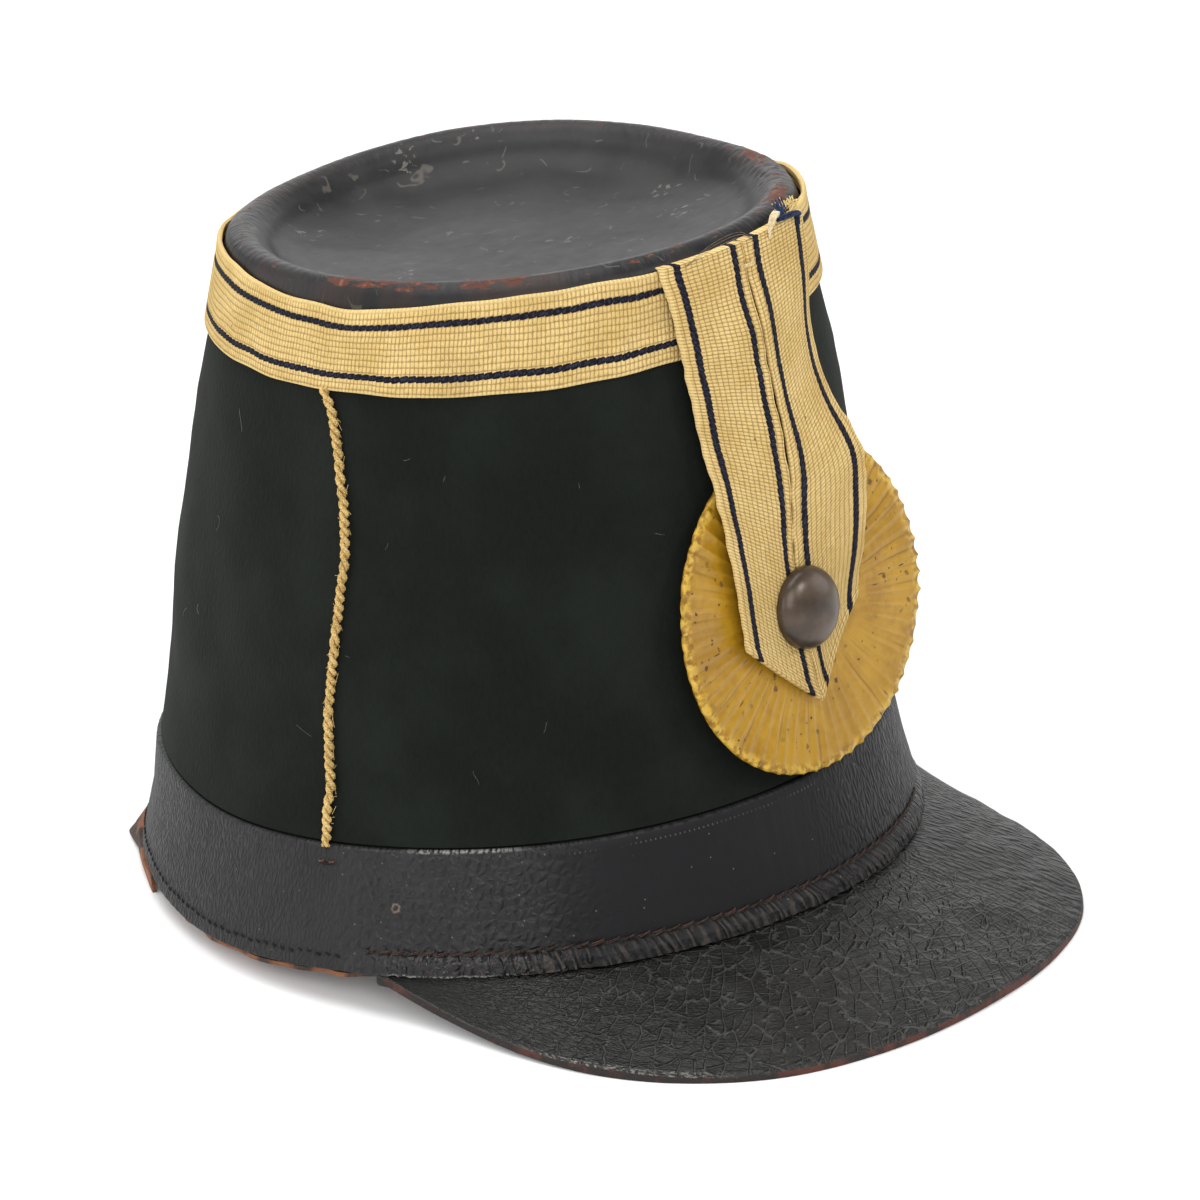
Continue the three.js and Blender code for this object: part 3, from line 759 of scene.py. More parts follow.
@dataclass(frozen=True)
class TopLeatherFinish:
    """Black leather worn to a satin dark grey, with scuffs, scratches and bare brown patches."""

    dark: Colour = rgb(0.0048, 0.0048, 0.0051)
    grey: Colour = rgb(0.0195, 0.0190, 0.0200)
    scuff: Colour = rgb(0.19, 0.165, 0.14)
    bare: Colour = rgb(0.12, 0.036, 0.02)
    orange: Colour = rgb(0.26, 0.085, 0.035)
    brown: Colour = rgb(0.034, 0.017, 0.0125)
    bare_places: tuple[Spot, ...] = (
        (-66.0, 14.0, 166.0),
        (-62.0, 0.0, 167.0),
        (-50.6, -21.2, 170.7),
        (52.6, -9.1, 175.6),
        (25.6, -37.7, 177.3),
    )
    bare_reach: float = 12.0
    ridge_zone: Zone = (15.5, 18.0, 24.5, 28.0)
    crest_zone: Zone = (18.4, 20.8, 24.0, 26.5)
    scuff_places: tuple[Spot, ...] = (
        (23.5, 82.5, 165.2),
        (42.5, 70.6, 170.3),
        (34.9, -0.4, 164.0),
        (45.9, 13.6, 164.4),
        (9.5, 16.0, 159.9),
        (-28.1, 31.1, 156.5),
        (-17.0, 74.9, 156.3),
    )
    scuff_reach: float = 8.0

    def material(self) -> Material:
        """Makes the finish."""
        sheet = FinishSheet("top_leather")
        spot = sheet.place()
        _, around, inward = sheet.lay()
        worn = sheet.cloud(spot, 30.0, 4.0, 0.6)
        haze = sheet.cloud(spot, 4.0, 4.0)
        colour = sheet.blend((worn * 0.8 + haze * 0.3).rising(0.4, 0.76), self.dark, self.grey)
        scratch = abs(sheet.cloud(spot, 9.0, 1.0) - 0.5).falling(0.004, 0.016)
        scratch = scratch * sheet.cloud(spot, 5.0, 2.0).rising(0.56, 0.64)
        scuffed = sheet.near(spot, self.scuff_places, self.scuff_reach)
        flecks = sheet.cloud(sheet.drift(spot, 3.0, 1.4, False), 1.9, 4.0)
        rubbed = (scuffed * 0.19 + flecks).rising(0.74, 0.82)
        marks = (scratch * 0.55).larger(rubbed).larger(sheet.specks(spot, 7.0, 0.24, 0.3) * 0.6)
        colour = sheet.blend(marks * 0.62, colour, self.scuff)
        ridge = inward.within(self.ridge_zone)
        bared = sheet.near(spot, self.bare_places, self.bare_reach)
        ragged = sheet.cloud(sheet.drift(sheet.joined(around * 0.42, inward), 3.0, 0.8), 1.7, 4.0)
        crest = inward.within(self.crest_zone)
        browned = ridge * (bared * 0.22 + worn).rising(0.5, 0.7)
        colour = sheet.blend(browned * 0.5, colour, self.brown)
        bare = (crest * (bared * 0.2 + ragged)).rising(0.58, 0.7)
        rust = sheet.blend(flecks.rising(0.54, 0.66), self.bare, self.orange)
        colour = sheet.blend(bare * 0.8, colour, rust)
        rough = 0.34 + 0.2 * haze + 0.25 * bare
        creases = sheet.cloud(sheet.joined(around, inward * 0.3), 1.7, 2.0, 0.6)
        height = creases * ridge * 0.7 + haze * 0.25 + bare * -0.2 + flecks * 0.1
        normal = sheet.bump(height, 0.35)
        return sheet.finish(colour, {"Specular IOR Level": 0.33}, normal, rough)


@dataclass(frozen=True)
class BandLeatherFinish:
    """Black grained leather: creased behind, pebbled and glossy by the cord, wrinkled at the left.

    The zones are in degrees from the front towards the wearer's left.
    """

    dark: Colour = rgb(0.0042, 0.0042, 0.0054)
    grey: Colour = rgb(0.0215, 0.0208, 0.0222)
    # the pale of dust specks and prick holes, and of the painted glints along the top edge and the foot
    pale: Colour = rgb(0.34, 0.33, 0.31)
    bare: Colour = rgb(0.075, 0.034, 0.022)
    rubbed: Colour = rgb(0.06, 0.05, 0.043)
    scar_tone: Colour = rgb(0.16, 0.11, 0.085)
    rib_pitch: float = 2.3
    scar_place: Pair = (-63.5, 16.0)
    girth: float = 100.0
    height: float = 29.6
    prick_pitch: float = 1.3
    prick_height: float = 27.1
    creased_ends: Zone = (-84.0, -66.0, 110.0, 160.0)
    pebbled_zone: Zone = (-80.0, -64.0, -48.0, -30.0)
    smooth_zone: Zone = (-46.0, -34.0, 0.0, 14.0)
    wrinkled_zone: Zone = (-4.0, 16.0, 110.0, 160.0)
    # where the top edge carries painted glints, in degrees
    glint_zone: Zone = (-64.0, -59.0, -50.0, -43.0)
    pricked_zone: Zone = (-42.0, -36.0, 2.0, 10.0)
    hem_zone: Zone = (-68.0, -62.0, 64.0, 70.0)
    # where the foot carries painted glints, in degrees
    foot_glint_zone: Zone = (-66.0, -62.0, -50.0, -42.0)

    def material(self) -> Material:
        """Makes the finish."""
        sheet = FinishSheet("band_leather")
        spot, around, up = sheet.lay()
        degrees = around * (180.0 / math.pi / self.girth)
        creased = degrees.falling(*self.creased_ends[:2]).larger(degrees.rising(*self.creased_ends[2:]))
        pebbled = degrees.within(self.pebbled_zone)
        wrinkled = degrees.within(self.wrinkled_zone)
        worn = sheet.cloud(spot, 15.0, 4.0)
        fine = sheet.cloud(spot, 0.8, 2.0)
        pebbles = sheet.seams(sheet.drift(spot, 3.0, 1.1), 2.6).rising(0.0, 0.5)
        short = sheet.drift(sheet.joined(around, up * 0.4), 1.7, 0.6)
        creases = sheet.seams(short, 1.2).rising(0.0, 0.4)
        long = sheet.drift(sheet.joined(around, up * 0.32), 2.2, 0.7)
        wrinkles = sheet.seams(long, 1.45).rising(0.0, 0.36)
        lines = creases * creased + wrinkles * wrinkled
        smooth = degrees.within(self.smooth_zone)
        tone = worn * 0.45 + 0.32 * creased + 0.28 * pebbled
        tone = tone - 0.1 * wrinkled - 0.3 * smooth + lines * 0.16
        colour = sheet.blend(tone.rising(0.12, 0.8), self.dark, self.grey)
        # Painted highlight: pale glints along the top edge, strong in the glint zone and faint as a worn
        # edge elsewhere.
        glint = degrees.within(self.glint_zone)
        edge = up.rising(self.height - 0.8, self.height - 0.25) * fine.rising(0.4, 0.56)
        edge = edge * (0.08 + 0.92 * glint)
        beat = abs((around * (math.pi / self.prick_pitch)).sine())
        prick = beat.rising(0.84, 0.97) * abs(up - self.prick_height).falling(0.1, 0.34)
        prick = prick * degrees.within(self.pricked_zone) * worn.rising(0.4, 0.55)
        dust = sheet.specks(spot, 6.0, 0.22, 0.3, True)
        marks = (edge * 0.7).larger(prick * 0.24).larger(dust * 0.4)
        colour = sheet.blend(marks, colour, self.pale)
        scar = (self.scar_place[0] * self.girth * math.pi / 180.0, self.scar_place[1], 0.0)
        ring = sheet.near(spot, (scar,), 1.9) - sheet.near(spot, (scar,), 1.0)
        ring = (ring * 0.9 + fine).rising(0.8, 1.1)
        colour = sheet.blend(ring * 0.8, colour, self.scar_tone)
        hem = up.falling(4.2, 5.4) * degrees.within(self.hem_zone)
        gathered = sheet.drift(sheet.joined(around + up * 0.35, up * 0.3), 9.0, 3.4)
        bent = sheet.part(sheet.drift(gathered, 2.4, 0.9), "X")
        ribs = abs((bent * (math.pi / self.rib_pitch)).sine())
        ribbed = hem * degrees.rising(-56.0, -40.0) * sheet.cloud(spot, 5.0, 2.0).rising(0.3, 0.55)
        rubbed = ribs.rising(0.7, 1.0) * ribbed * worn.rising(0.3, 0.6)
        colour = sheet.blend(rubbed * 0.7, colour, self.rubbed)
        # Pale flecks along the foot: partly painted highlight, partly wear.
        foot = up.falling(0.4, 0.95) * degrees.within(self.foot_glint_zone)
        colour = sheet.blend(foot * fine.rising(0.42, 0.58) * 0.6, colour, self.pale)
        browned = (sheet.cloud(spot, 1.3, 3.0) + 0.08 * hem).rising(0.68, 0.78)
        colour = sheet.blend(browned * 0.5, colour, self.bare)
        rough = 0.44 - 0.16 * pebbled + 0.12 * worn + 0.14 * smooth - 0.12 * hem
        relief = pebbles * pebbled * 1.1 + creases * creased * 1.2 + wrinkles * wrinkled * 1.3
        relief = relief + ribs * ribbed * 1.3 + fine * (0.2 + 0.2 * hem) - prick * 0.4
        normal = sheet.bump(relief, 0.38)
        return sheet.finish(colour, {"Specular IOR Level": 0.3}, normal, rough)


@dataclass(frozen=True)
class PeakLeatherFinish:
    """Black varnished leather: glossy and pebbled at the right, then a net of cracks, then wrinkles."""

    dark: Colour = rgb(0.0052, 0.0054, 0.0048)
    grey: Colour = rgb(0.0155, 0.0158, 0.0142)
    # the grey painted on crack ridges, wrinkle tops and the glossy pebbles, partly as painted highlight
    ridge_and_glint_grey: Colour = rgb(0.072, 0.072, 0.066)
    # the pale of chips, and of the painted glints along the lip
    worn: Colour = rgb(0.36, 0.34, 0.31)
    girth: float = 100.0
    # where the lip carries painted glints, in degrees
    lip_glint_zone: Zone = (-48.0, -42.0, -34.0, -24.0)

    def material(self) -> Material:
        """Makes the finish."""
        sheet = FinishSheet("peak_leather")
        spot, around, out = sheet.lay()
        degrees = around * (180.0 / math.pi / self.girth)
        drawn = degrees.rising(6.0, 26.0)
        glossy = degrees.falling(-50.0, -34.0)
        patchy = sheet.cloud(spot, 9.0, 3.0)
        some = sheet.cloud(spot, 6.0, 2.0)
        level = sheet.drift(sheet.joined(around * 0.3 + out * 0.12, out - around * 0.22), 5.0, 0.9)
        level = sheet.seams(sheet.drift(level, 1.4, 0.2), 2.5).falling(0.015, 0.1)
        steep = sheet.drift(sheet.joined(around + out * 0.42, out * 0.34 + 40.0), 5.0, 0.9)
        steep = sheet.seams(sheet.drift(steep, 1.4, 0.2), 2.8).falling(0.015, 0.1)
        net = (level * some.rising(0.3, 0.48)).larger(steep * some.falling(0.5, 0.68))
        rayed = sheet.drift(sheet.joined(around, out * 0.27), 2.4, 0.8)
        rays = sheet.seams(rayed, 1.6).rising(0.0, 0.5)
        pebbles = sheet.cloud(sheet.drift(spot, 3.0, 0.8), 1.4, 1.0)
        fine = sheet.cloud(spot, 0.7, 2.0)
        # The glossy zone is painted a lighter grey, standing in for its highlights.
        colour = sheet.blend((patchy + 0.2 * glossy).rising(0.36, 0.66), self.dark, self.grey)
        # Lighter crack ridges and wrinkle tops: painted highlight on the raised ridges, partly paler
        # crazing in the net.
        lines = net * (1.0 - drawn) * (1.0 - 0.5 * glossy) + (rays - 0.5).larger(0.0) * drawn * 0.7
        colour = sheet.blend(lines * (0.2 + 0.5 * fine), colour, self.ridge_and_glint_grey)
        # Painted glints on the glossy pebbles.
        colour = sheet.blend(glossy * (0.12 + 0.9 * fine * pebbles), colour, self.ridge_and_glint_grey)
        chips_and_glints = sheet.specks(spot, 4.6, 0.3, 0.16, True)
        # Painted highlight: pale glints along the lip of the edge, added to the real chips.
        lip = out.rising(44.9, 45.8) * degrees.within(self.lip_glint_zone)
        chips_and_glints = (chips_and_glints * 0.3).larger(lip * fine.rising(0.46, 0.6) * 0.5)
        colour = sheet.blend(chips_and_glints, colour, self.worn)
        rough = 0.34 + 0.1 * patchy - 0.18 * glossy + 0.06 * drawn
        relief = net * (1.0 - drawn) * 1.5 + rays * drawn * 1.5 + patchy * 0.4
        normal = sheet.bump(relief + pebbles * glossy * 3.0 + fine * 0.6, 0.5)
        return sheet.finish(colour, {"Specular IOR Level": 0.4}, normal, rough)


@dataclass(frozen=True)
class RawEdgeFinish:
    """The cut edge of leather, red-brown, rubbed dark and pale in places."""

    name: str = "raw_edge"
    brown: Colour = rgb(0.082, 0.02, 0.011)
    dark: Colour = rgb(0.013, 0.008, 0.006)
    pale: Colour = rgb(0.14, 0.06, 0.035)
    blackened: Pair = (-500.0, -400.0)

    def material(self) -> Material:
        """Makes the finish."""
        sheet = FinishSheet(self.name)
        spot = sheet.place()
        worn = sheet.cloud(spot, 7.0, 4.0)
        fibre = sheet.cloud(sheet.stretched(spot, (1.0, 1.0, 3.0)), 0.9, 4.0)
        black = sheet.part(spot, "X").falling(*self.blackened)
        colour = sheet.blend((worn + 0.13 * black).rising(0.44, 0.6), self.brown, self.dark)
        colour = sheet.blend(fibre.rising(0.6, 0.74) * 0.5, colour, self.pale)
        normal = sheet.bump(fibre, 0.3)
        return sheet.finish(colour, {"Roughness": 0.7}, normal)


@dataclass(frozen=True)
class WebbingFinish:
    """Straw coloured woven webbing, ribbed across, with a navy stripe near each edge."""

    name: str
    width: float
    stripes: Pair
    straw: Colour = rgb(0.67, 0.465, 0.168)
    pale: Colour = rgb(0.83, 0.615, 0.27)
    shade: Colour = rgb(0.25, 0.145, 0.04)
    navy: Colour = rgb(0.0062, 0.0062, 0.0125)
    # painted highlight on the crowns of the stripe's threads
    stripe_highlight: Colour = rgb(0.03, 0.032, 0.055)
    soil: Colour = rgb(0.13, 0.07, 0.025)
    weft: float = 1.0
    warp: float = 1.5
    stripe_half: float = 0.78
    stripe_beat: float = 1.95
    stripe_slant: float = 0.24
    # width of the paler edge line, partly painted highlight
    selvedge: float = 0.45

    def material(self) -> Material:
        """Makes the finish."""
        sheet = FinishSheet(self.name)
        flat, _, _ = sheet.lay()
        spot = sheet.drift(sheet.drift(flat, 9.0, 0.3), 1.4, 0.1)
        along = sheet.part(spot, "X")
        across = sheet.part(spot, "Y")
        rib = abs((along * (math.pi / self.weft)).cosine())
        bead = abs((across * (math.pi / self.warp)).cosine())
        knots = rib.smaller(bead) * 0.6 + (rib + bead) * 0.2
        thread = sheet.cloud(sheet.stretched(spot, (1.6, 0.7, 1.0)), 0.9, 2.0)
        tone = sheet.cloud(spot, 14.0, 3.0)
        colour = sheet.blend((tone * 0.6 + thread * 0.4).rising(0.36, 0.66), self.straw, self.pale)
        gaps = (knots + 0.35 * (thread - 0.5)).falling(0.16, 0.66)
        colour = sheet.blend(gaps * 0.68, colour, self.shade)
        # Paler selvedge along both edges: partly paler edge thread, partly painted highlight on the
        # rounded edge.
        edge = across.smaller(self.width - across).falling(self.selvedge - 0.1, self.selvedge + 0.1)
        colour = sheet.blend(edge * 0.6, colour, self.pale)
        twist = (along / self.stripe_beat).fraction() - 0.5
        lean = twist * self.stripe_slant
        off = abs(across - self.stripes[0] - lean)
        off = off.smaller(abs(across - (self.width - self.stripes[1]) - lean))
        off = off + 0.22 * abs(twist * 2.0) ** 6.0
        stripe = off.falling(self.stripe_half - 0.08, self.stripe_half + 0.08)
        crown = stripe * off.falling(0.1, self.stripe_half)
        # Painted highlight: each stripe's threads are lighter along their crowns.
        dark = sheet.blend(crown * thread.rising(0.4, 0.65), self.navy, self.stripe_highlight)
        colour = sheet.blend(stripe, colour, dark)
        soiled = sheet.cloud(spot, 30.0, 2.0).rising(0.58, 0.8) * 0.28
        specks = sheet.specks(flat, 11.0, 0.45, 0.14, True) * 0.7
        colour = sheet.blend(soiled.larger(specks) * (1.0 - stripe), colour, self.soil)
        height = knots * (1.0 - stripe) + crown * (0.8 - 0.5 * abs(twist)) + stripe * 0.3 + thread * 0.25
        normal = sheet.bump(height, 0.36)
        steady = {"Roughness": 0.9, "Specular IOR Level": 0.15}
        return sheet.finish(colour, steady, normal)


@dataclass(frozen=True)
class ThreadFinish:
    """Spun thread of one colour, uneven along its length."""

    name: str
    light: Colour
    dark: Colour
    roughness: float = 0.8

    def material(self) -> Material:
        """Makes the finish."""
        sheet = FinishSheet(self.name)
        spot = sheet.place()
        fibre = sheet.cloud(spot, 0.45, 4.0)
        tone = sheet.cloud(spot, 5.0, 2.0)
        colour = sheet.blend((fibre * 0.7 + tone * 0.3).rising(0.36, 0.62), self.dark, self.light)
        normal = sheet.bump(fibre, 0.25)
        steady = {"Roughness": self.roughness, "Specular IOR Level": 0.25}
        return sheet.finish(colour, steady, normal)


@dataclass(frozen=True)
class CockadeFinish:
    """Pressed sheet under thick ochre varnish, pitted and cracked, glossy and paler along its edge."""

    ochre: Colour = rgb(0.44, 0.24, 0.0135)
    deep: Colour = rgb(0.325, 0.164, 0.008)
    # painted highlight on the flute crests, and the paler edge
    bright: Colour = rgb(0.70, 0.46, 0.07)
    # painted shade in the flute valleys, also used for dark patches along the rim
    fold: Colour = rgb(0.19, 0.085, 0.008)
    pit: Colour = rgb(0.05, 0.02, 0.02)
    radius: float = 41.3
    beat: float = 2.0

    def material(self) -> Material:
        """Makes the finish."""
        sheet = FinishSheet("cockade_varnish")
        _, around, out = sheet.lay()
        solid = sheet.place()
        tone = sheet.cloud(solid, 11.0, 4.0)
        worn = sheet.cloud(solid, 1.8, 3.0)
        colour = sheet.blend((tone * 0.7 + worn * 0.3).rising(0.36, 0.64), self.deep, self.ochre)
        patch = sheet.cloud(sheet.joined(around * 0.6, out * 0.12), 3.0, 2.0)
        flute = (around * self.beat).cosine()
        reach = out.rising(10.0, 24.0)
        # Painted shade: the flute valleys are darkened where the patches allow.
        shaded_valleys = flute.falling(-1.0, -0.76) * patch.rising(0.48, 0.68) * reach
        colour = sheet.blend(shaded_valleys * 0.6, colour, self.fold)
        # Painted highlight: the flute crests are lightened a little.
        painted_crest_highlight = flute.rising(0.5, 1.0) * patch.falling(0.34, 0.5) * reach
        colour = sheet.blend(painted_crest_highlight * 0.1, colour, self.bright)
        rim = out.rising(self.radius - 3.4, self.radius - 0.5)
        colour = sheet.blend(rim * worn.rising(0.42, 0.6) * 0.75, colour, self.bright)
        colour = sheet.blend(rim * worn.falling(0.34, 0.46) * 0.6, colour, self.fold)
        flat = sheet.joined(sheet.part(solid, "X"), sheet.part(solid, "Z"))
        loose = sheet.drift(flat, 1.5, 0.5)
        some = sheet.cloud(solid, 13.0, 2.0).rising(0.36, 0.6)
        pits = sheet.specks(loose, 4.2, 0.85, 0.26, True)
        pits = pits.larger(sheet.specks(loose, 2.1, 0.36, 0.2, True))
        cracks = sheet.specks(sheet.joined(around, out * 0.16), 2.4, 0.2, 0.16, True)
        pits = (pits * some).larger(cracks)
        colour = sheet.blend(pits * 0.85, colour, self.pit)
        rough = 0.25 + 0.16 * tone + 0.35 * pits
        relief = worn * (0.4 + 1.1 * rim) - pits * 0.6 - shaded_valleys * 0.4
        normal = sheet.bump(relief, 0.3)
        return sheet.finish(colour, {"Specular IOR Level": 0.4}, normal, rough)


@dataclass(frozen=True)
class BronzeFinish:
    """Dark bronze, handled smooth, with dull patches."""

    dark: Colour = rgb(0.052, 0.038, 0.028)
    light: Colour = rgb(0.092, 0.064, 0.044)
    grime: Colour = rgb(0.018, 0.014, 0.011)

    def material(self) -> Material:
        """Makes the finish."""
        sheet = FinishSheet("dark_bronze")
        spot = sheet.place()
        dull = sheet.cloud(spot, 5.0, 4.0)
        fine = sheet.cloud(spot, 0.8, 3.0)
        colour = sheet.blend(dull.rising(0.35, 0.65), self.dark, self.light)
        colour = sheet.blend(sheet.specks(spot, 2.4, 0.25, 0.2) * 0.7, colour, self.grime)
        rough = 0.24 + 0.1 * dull
        normal = sheet.bump(dull * 0.4 + fine * 0.2, 0.05)
        return sheet.finish(colour, {"Metallic": 0.3}, normal, rough)


@dataclass(frozen=True)
class FloorFinish:
    """A plain pale floor."""

    colour: Colour = rgb(0.93, 0.93, 0.93)
    glow: float = 0.07

    def material(self) -> Material:
        """Makes the finish."""
        sheet = FinishSheet("pale_floor")
        steady = {"Roughness": 0.8, "Specular IOR Level": 0.2}
        glow = {"Emission Color": self.colour, "Emission Strength": self.glow}
        return sheet.finish(self.colour, steady | glow)


@dataclass
class Crown:
    """The felt wall, pressed in behind the base band and behind the top's skirt."""

    foot: float = 1.0
    top: float = 160.2
    thickness: float = 2.5
    base_end: float = 30.2
    skirt_start: float = 140.5
    base_press: float = 1.15
    skirt_press: float = 2.1
    ease: float = 16.0
    inner_heights: Pair = (34.6, 17.0)
    dent: float = 0.45
    dented_zone: Zone = (base_end, 60.0, 118.0, skirt_start)
    girth: float = 85.0
    steps: int = 200
    hairs: int = 34
    hair_heights: Pair = (38.0, 132.0)
    hair_lengths: Pair = (1.5, 7.0)
    hair_radius: float = 0.03

    def section(self) -> list[Pair]:
        """Offsets and heights, up the outside and down the inside."""
        face = np.linspace(self.base_end, self.skirt_start, 40)
        back = np.linspace(self.skirt_start - self.ease, self.base_end + self.ease, 16)
        low, high, wall = -self.base_press, -self.skirt_press, self.thickness
        rows = [(low, self.foot), (low, self.base_end / 2), (low, self.base_end - 0.1)]
        rows += [(0.0, height) for height in face]
        rows += [(high, self.skirt_start + 0.1), (high, self.top), (high - wall, self.top)]
        rows += [(high - wall, self.skirt_start)] + [(-wall, height) for height in back]
        return rows + [(low - wall, height) for height in (*self.inner_heights, self.foot)]

    def build(self) -> None:
        """Builds the wall."""
        work = Workpiece()
        work.spin([(HAT.radius.at(HAT.share(h)) + o, h) for o, h in self.section()], self.steps)
        work.lay_round(self.girth)
        uneven, fine = Ripple(11, 46.0), Ripple(12, 15.0)

        def place(turn: Array, height: Array, radius: Array) -> Array:
            """Bends the wall to the hat, with soft dents."""
            offset = radius - HAT.radius.at(HAT.share(height))
            free = within(height, self.dented_zone)
            way = turn * self.girth
            dents = uneven.at(way, height) + 0.25 * fine.at(way, height)
            return HAT.stand(HAT.point(turn, height, offset + self.dent * free * dents))

        work.bend_round(place)
        work.finish(PieceSpec("felt_wall", "felt", (FeltFinish().material(),), "crown_wall"))

    def lint(self) -> None:
        """Scatters fine hairs over the felt."""
        draw = np.random.default_rng(21)
        hairs = Strands(4)
        for _ in range(self.hairs):
            turn, height = draw.uniform(-math.pi, math.pi), draw.uniform(*self.hair_heights)
            way, bend = draw.uniform(0, 2 * math.pi), draw.normal(0, 0.5)
            length = draw.uniform(*self.hair_lengths)
            share = np.linspace(0.0, 1.0, 9)
            heading = way + bend * np.cumsum(np.sin(3.0 * share + way)) * 0.6
            side = turn + np.cumsum(np.cos(heading)) * length / len(share) / self.girth
            rise = height + np.cumsum(np.sin(heading)) * length / len(share)
            lift = self.dent + 0.15 + 0.25 * np.sin(share * math.pi)
            hairs.add(HAT.stand(HAT.point(side, rise, lift)), self.hair_radius)
        finish = ThreadFinish("lint", rgb(0.26, 0.25, 0.21), rgb(0.1, 0.095, 0.08)).material()
        hairs.finish(PieceSpec("felt_lint", "felt", (finish,)))


@dataclass
class CrownTop:
    """The leather top: a dish with a rolled, wrinkled rim, and a skirt behind the band."""

    leather: float = 1.6
    skirt_foot: float = 142.5
    skirt_face: float = -0.15
    profile: tuple[Pair, ...] = (
        (0.0, -1.6), (0.4, 0.6), (1.7, 2.3), (4.4, 3.2), (7.2, 2.3),
        (10.5, -0.4), (15.0, -3.8), (23.0, -6.8), (38.0, -8.8),
    )
    dish: float = 9.4
    steps: int = 424
    wrinkle: float = 0.16
    wrinkle_depth: float = 3.0
    wrinkle_shares: Pair = (0.3, 1.2)  # everywhere, and more at the ends
    wrinkle_fade: Pair = (7.0, 12.0)
    bowl_start: Pair = (9.0, 26.0)
    bowl_depth: float = 12.0
    sags: Pair = (0.55, 0.18)
    swell: float = 1.1
    swell_zone: Zone = (0.2, 4.4, 6.0, 22.0)
    swell_turn: float = math.radians(-47.0)
    swell_depth: float = 5.0
    skirt_bend: float = 151.0
    girth: float = 68.0
    right_wrinkles: Pair = (-125.0, 32.0)
    right_share: float = 0.3
    left_wrinkles: Pair = (45.0, 26.0)

    def upper(self) -> Array:
        """Offsets and rises of the upper face, from the skirt over the rim into the dish."""
        steps = np.arange(len(self.profile), dtype=float)
        insets = Curve(tuple(zip(steps, (inset for inset, _ in self.profile))))
        rises = Curve(tuple(zip(steps, (rise for _, rise in self.profile))))
        at = np.linspace(0.0, steps[-1], 49)
        return np.stack([self.skirt_face - insets.at(at), rises.at(at)], axis=-1)

    def build(self) -> None:
        """Builds the top."""
        upper = self.upper()
        along = np.gradient(upper, axis=0)
        along /= np.linalg.norm(along, axis=1, keepdims=True)
        lower = upper + np.stack([-along[:, 1], along[:, 0]], axis=-1) * self.leather
        back = self.skirt_face - self.leather
        brim = float(HAT.radius.at(1.0))

        def spun(offset: float, height: float) -> Pair:
            """A point of the section as radius and height."""
            return max(float(HAT.radius.at(HAT.share(height))) + offset, 0.0), height

        rows = [(0.0, HAT.height - self.dish - self.leather)]
        rows += [spun(o, HAT.height + r) for o, r in lower[:3:-1]]
        rows += [spun(back, height) for height in (HAT.height - 2.0, self.skirt_bend, self.skirt_foot)]
        rows += [spun(self.skirt_face, height) for height in (self.skirt_foot, self.skirt_bend)]
        rows += [spun(o, HAT.height + r) for o, r in upper]
        inner = brim + upper[-1][0]
        rows += [(inner * s, HAT.height - self.dish + 0.6 * s * s) for s in (0.75, 0.5, 0.25)]
        rows += [(0.0, HAT.height - self.dish)]
        work = Workpiece()
        work.spin(rows, self.steps, closed=False)
        self._lay(work)
        ribs, swell, hollow = Ripple(31, 2.6), Ripple(32, 21.0), Ripple(33, 44.0)

        def place(turn: Array, height: Array, radius: Array) -> Array:
            """Bends the top to the hat, with a wrinkled rim and an uneven dish."""
            offset = radius - HAT.radius.at(HAT.share(height))
            inset = -offset
            rim = eased(height, HAT.height - self.wrinkle_depth, HAT.height)
            rim = rim * (1.0 - eased(inset, *self.wrinkle_fade))
            ends = self.right_share * bell(np.degrees(turn), *self.right_wrinkles)
            ends += bell(np.degrees(turn), *self.left_wrinkles)
            even, more = self.wrinkle_shares
            crinkle = ribs.at(turn * self.girth, radius) * self.wrinkle * rim * (even + more * ends)
            bowl = eased(inset, *self.bowl_start) * (height > HAT.height - self.bowl_depth)
            x, y = radius * np.sin(turn), radius * np.cos(turn)
            sag = bowl * (self.sags[0] * hollow.at(x, y) + self.sags[1] * swell.at(x, y))
            crest = within(inset, self.swell_zone)
            fuller = self.swell * crest * np.maximum(np.cos(turn - self.swell_turn), 0.0) ** 2
            fuller = fuller * (height > HAT.height - self.swell_depth)
            spots = HAT.point(turn, np.minimum(height, HAT.height), offset)
            spots[:, 2] += np.maximum(height - HAT.height, 0.0) + crinkle + sag + fuller
            return HAT.stand(spots)

        work.bend_round(place)
        finish = TopLeatherFinish().material()
        work.finish(PieceSpec("leather_top", "top_leather", (finish,), "crown_top"))

    def _lay(self, work: Workpiece) -> None:
        """Lays the top out by its turn and by the way from the skirt's foot to the middle."""
        work.lay_round(self.girth)
        brim = float(HAT.radius.at(1.0))
        for face in work.bm.faces:
            for loop in face.loops:
                radius = math.hypot(loop.vert.co.x, loop.vert.co.y)
                rise = loop.vert.co.z - self.skirt_foot
                way = min(rise, 18.0) + max(brim - radius, 0.0)
                loop[work.lay_map].uv.y = way


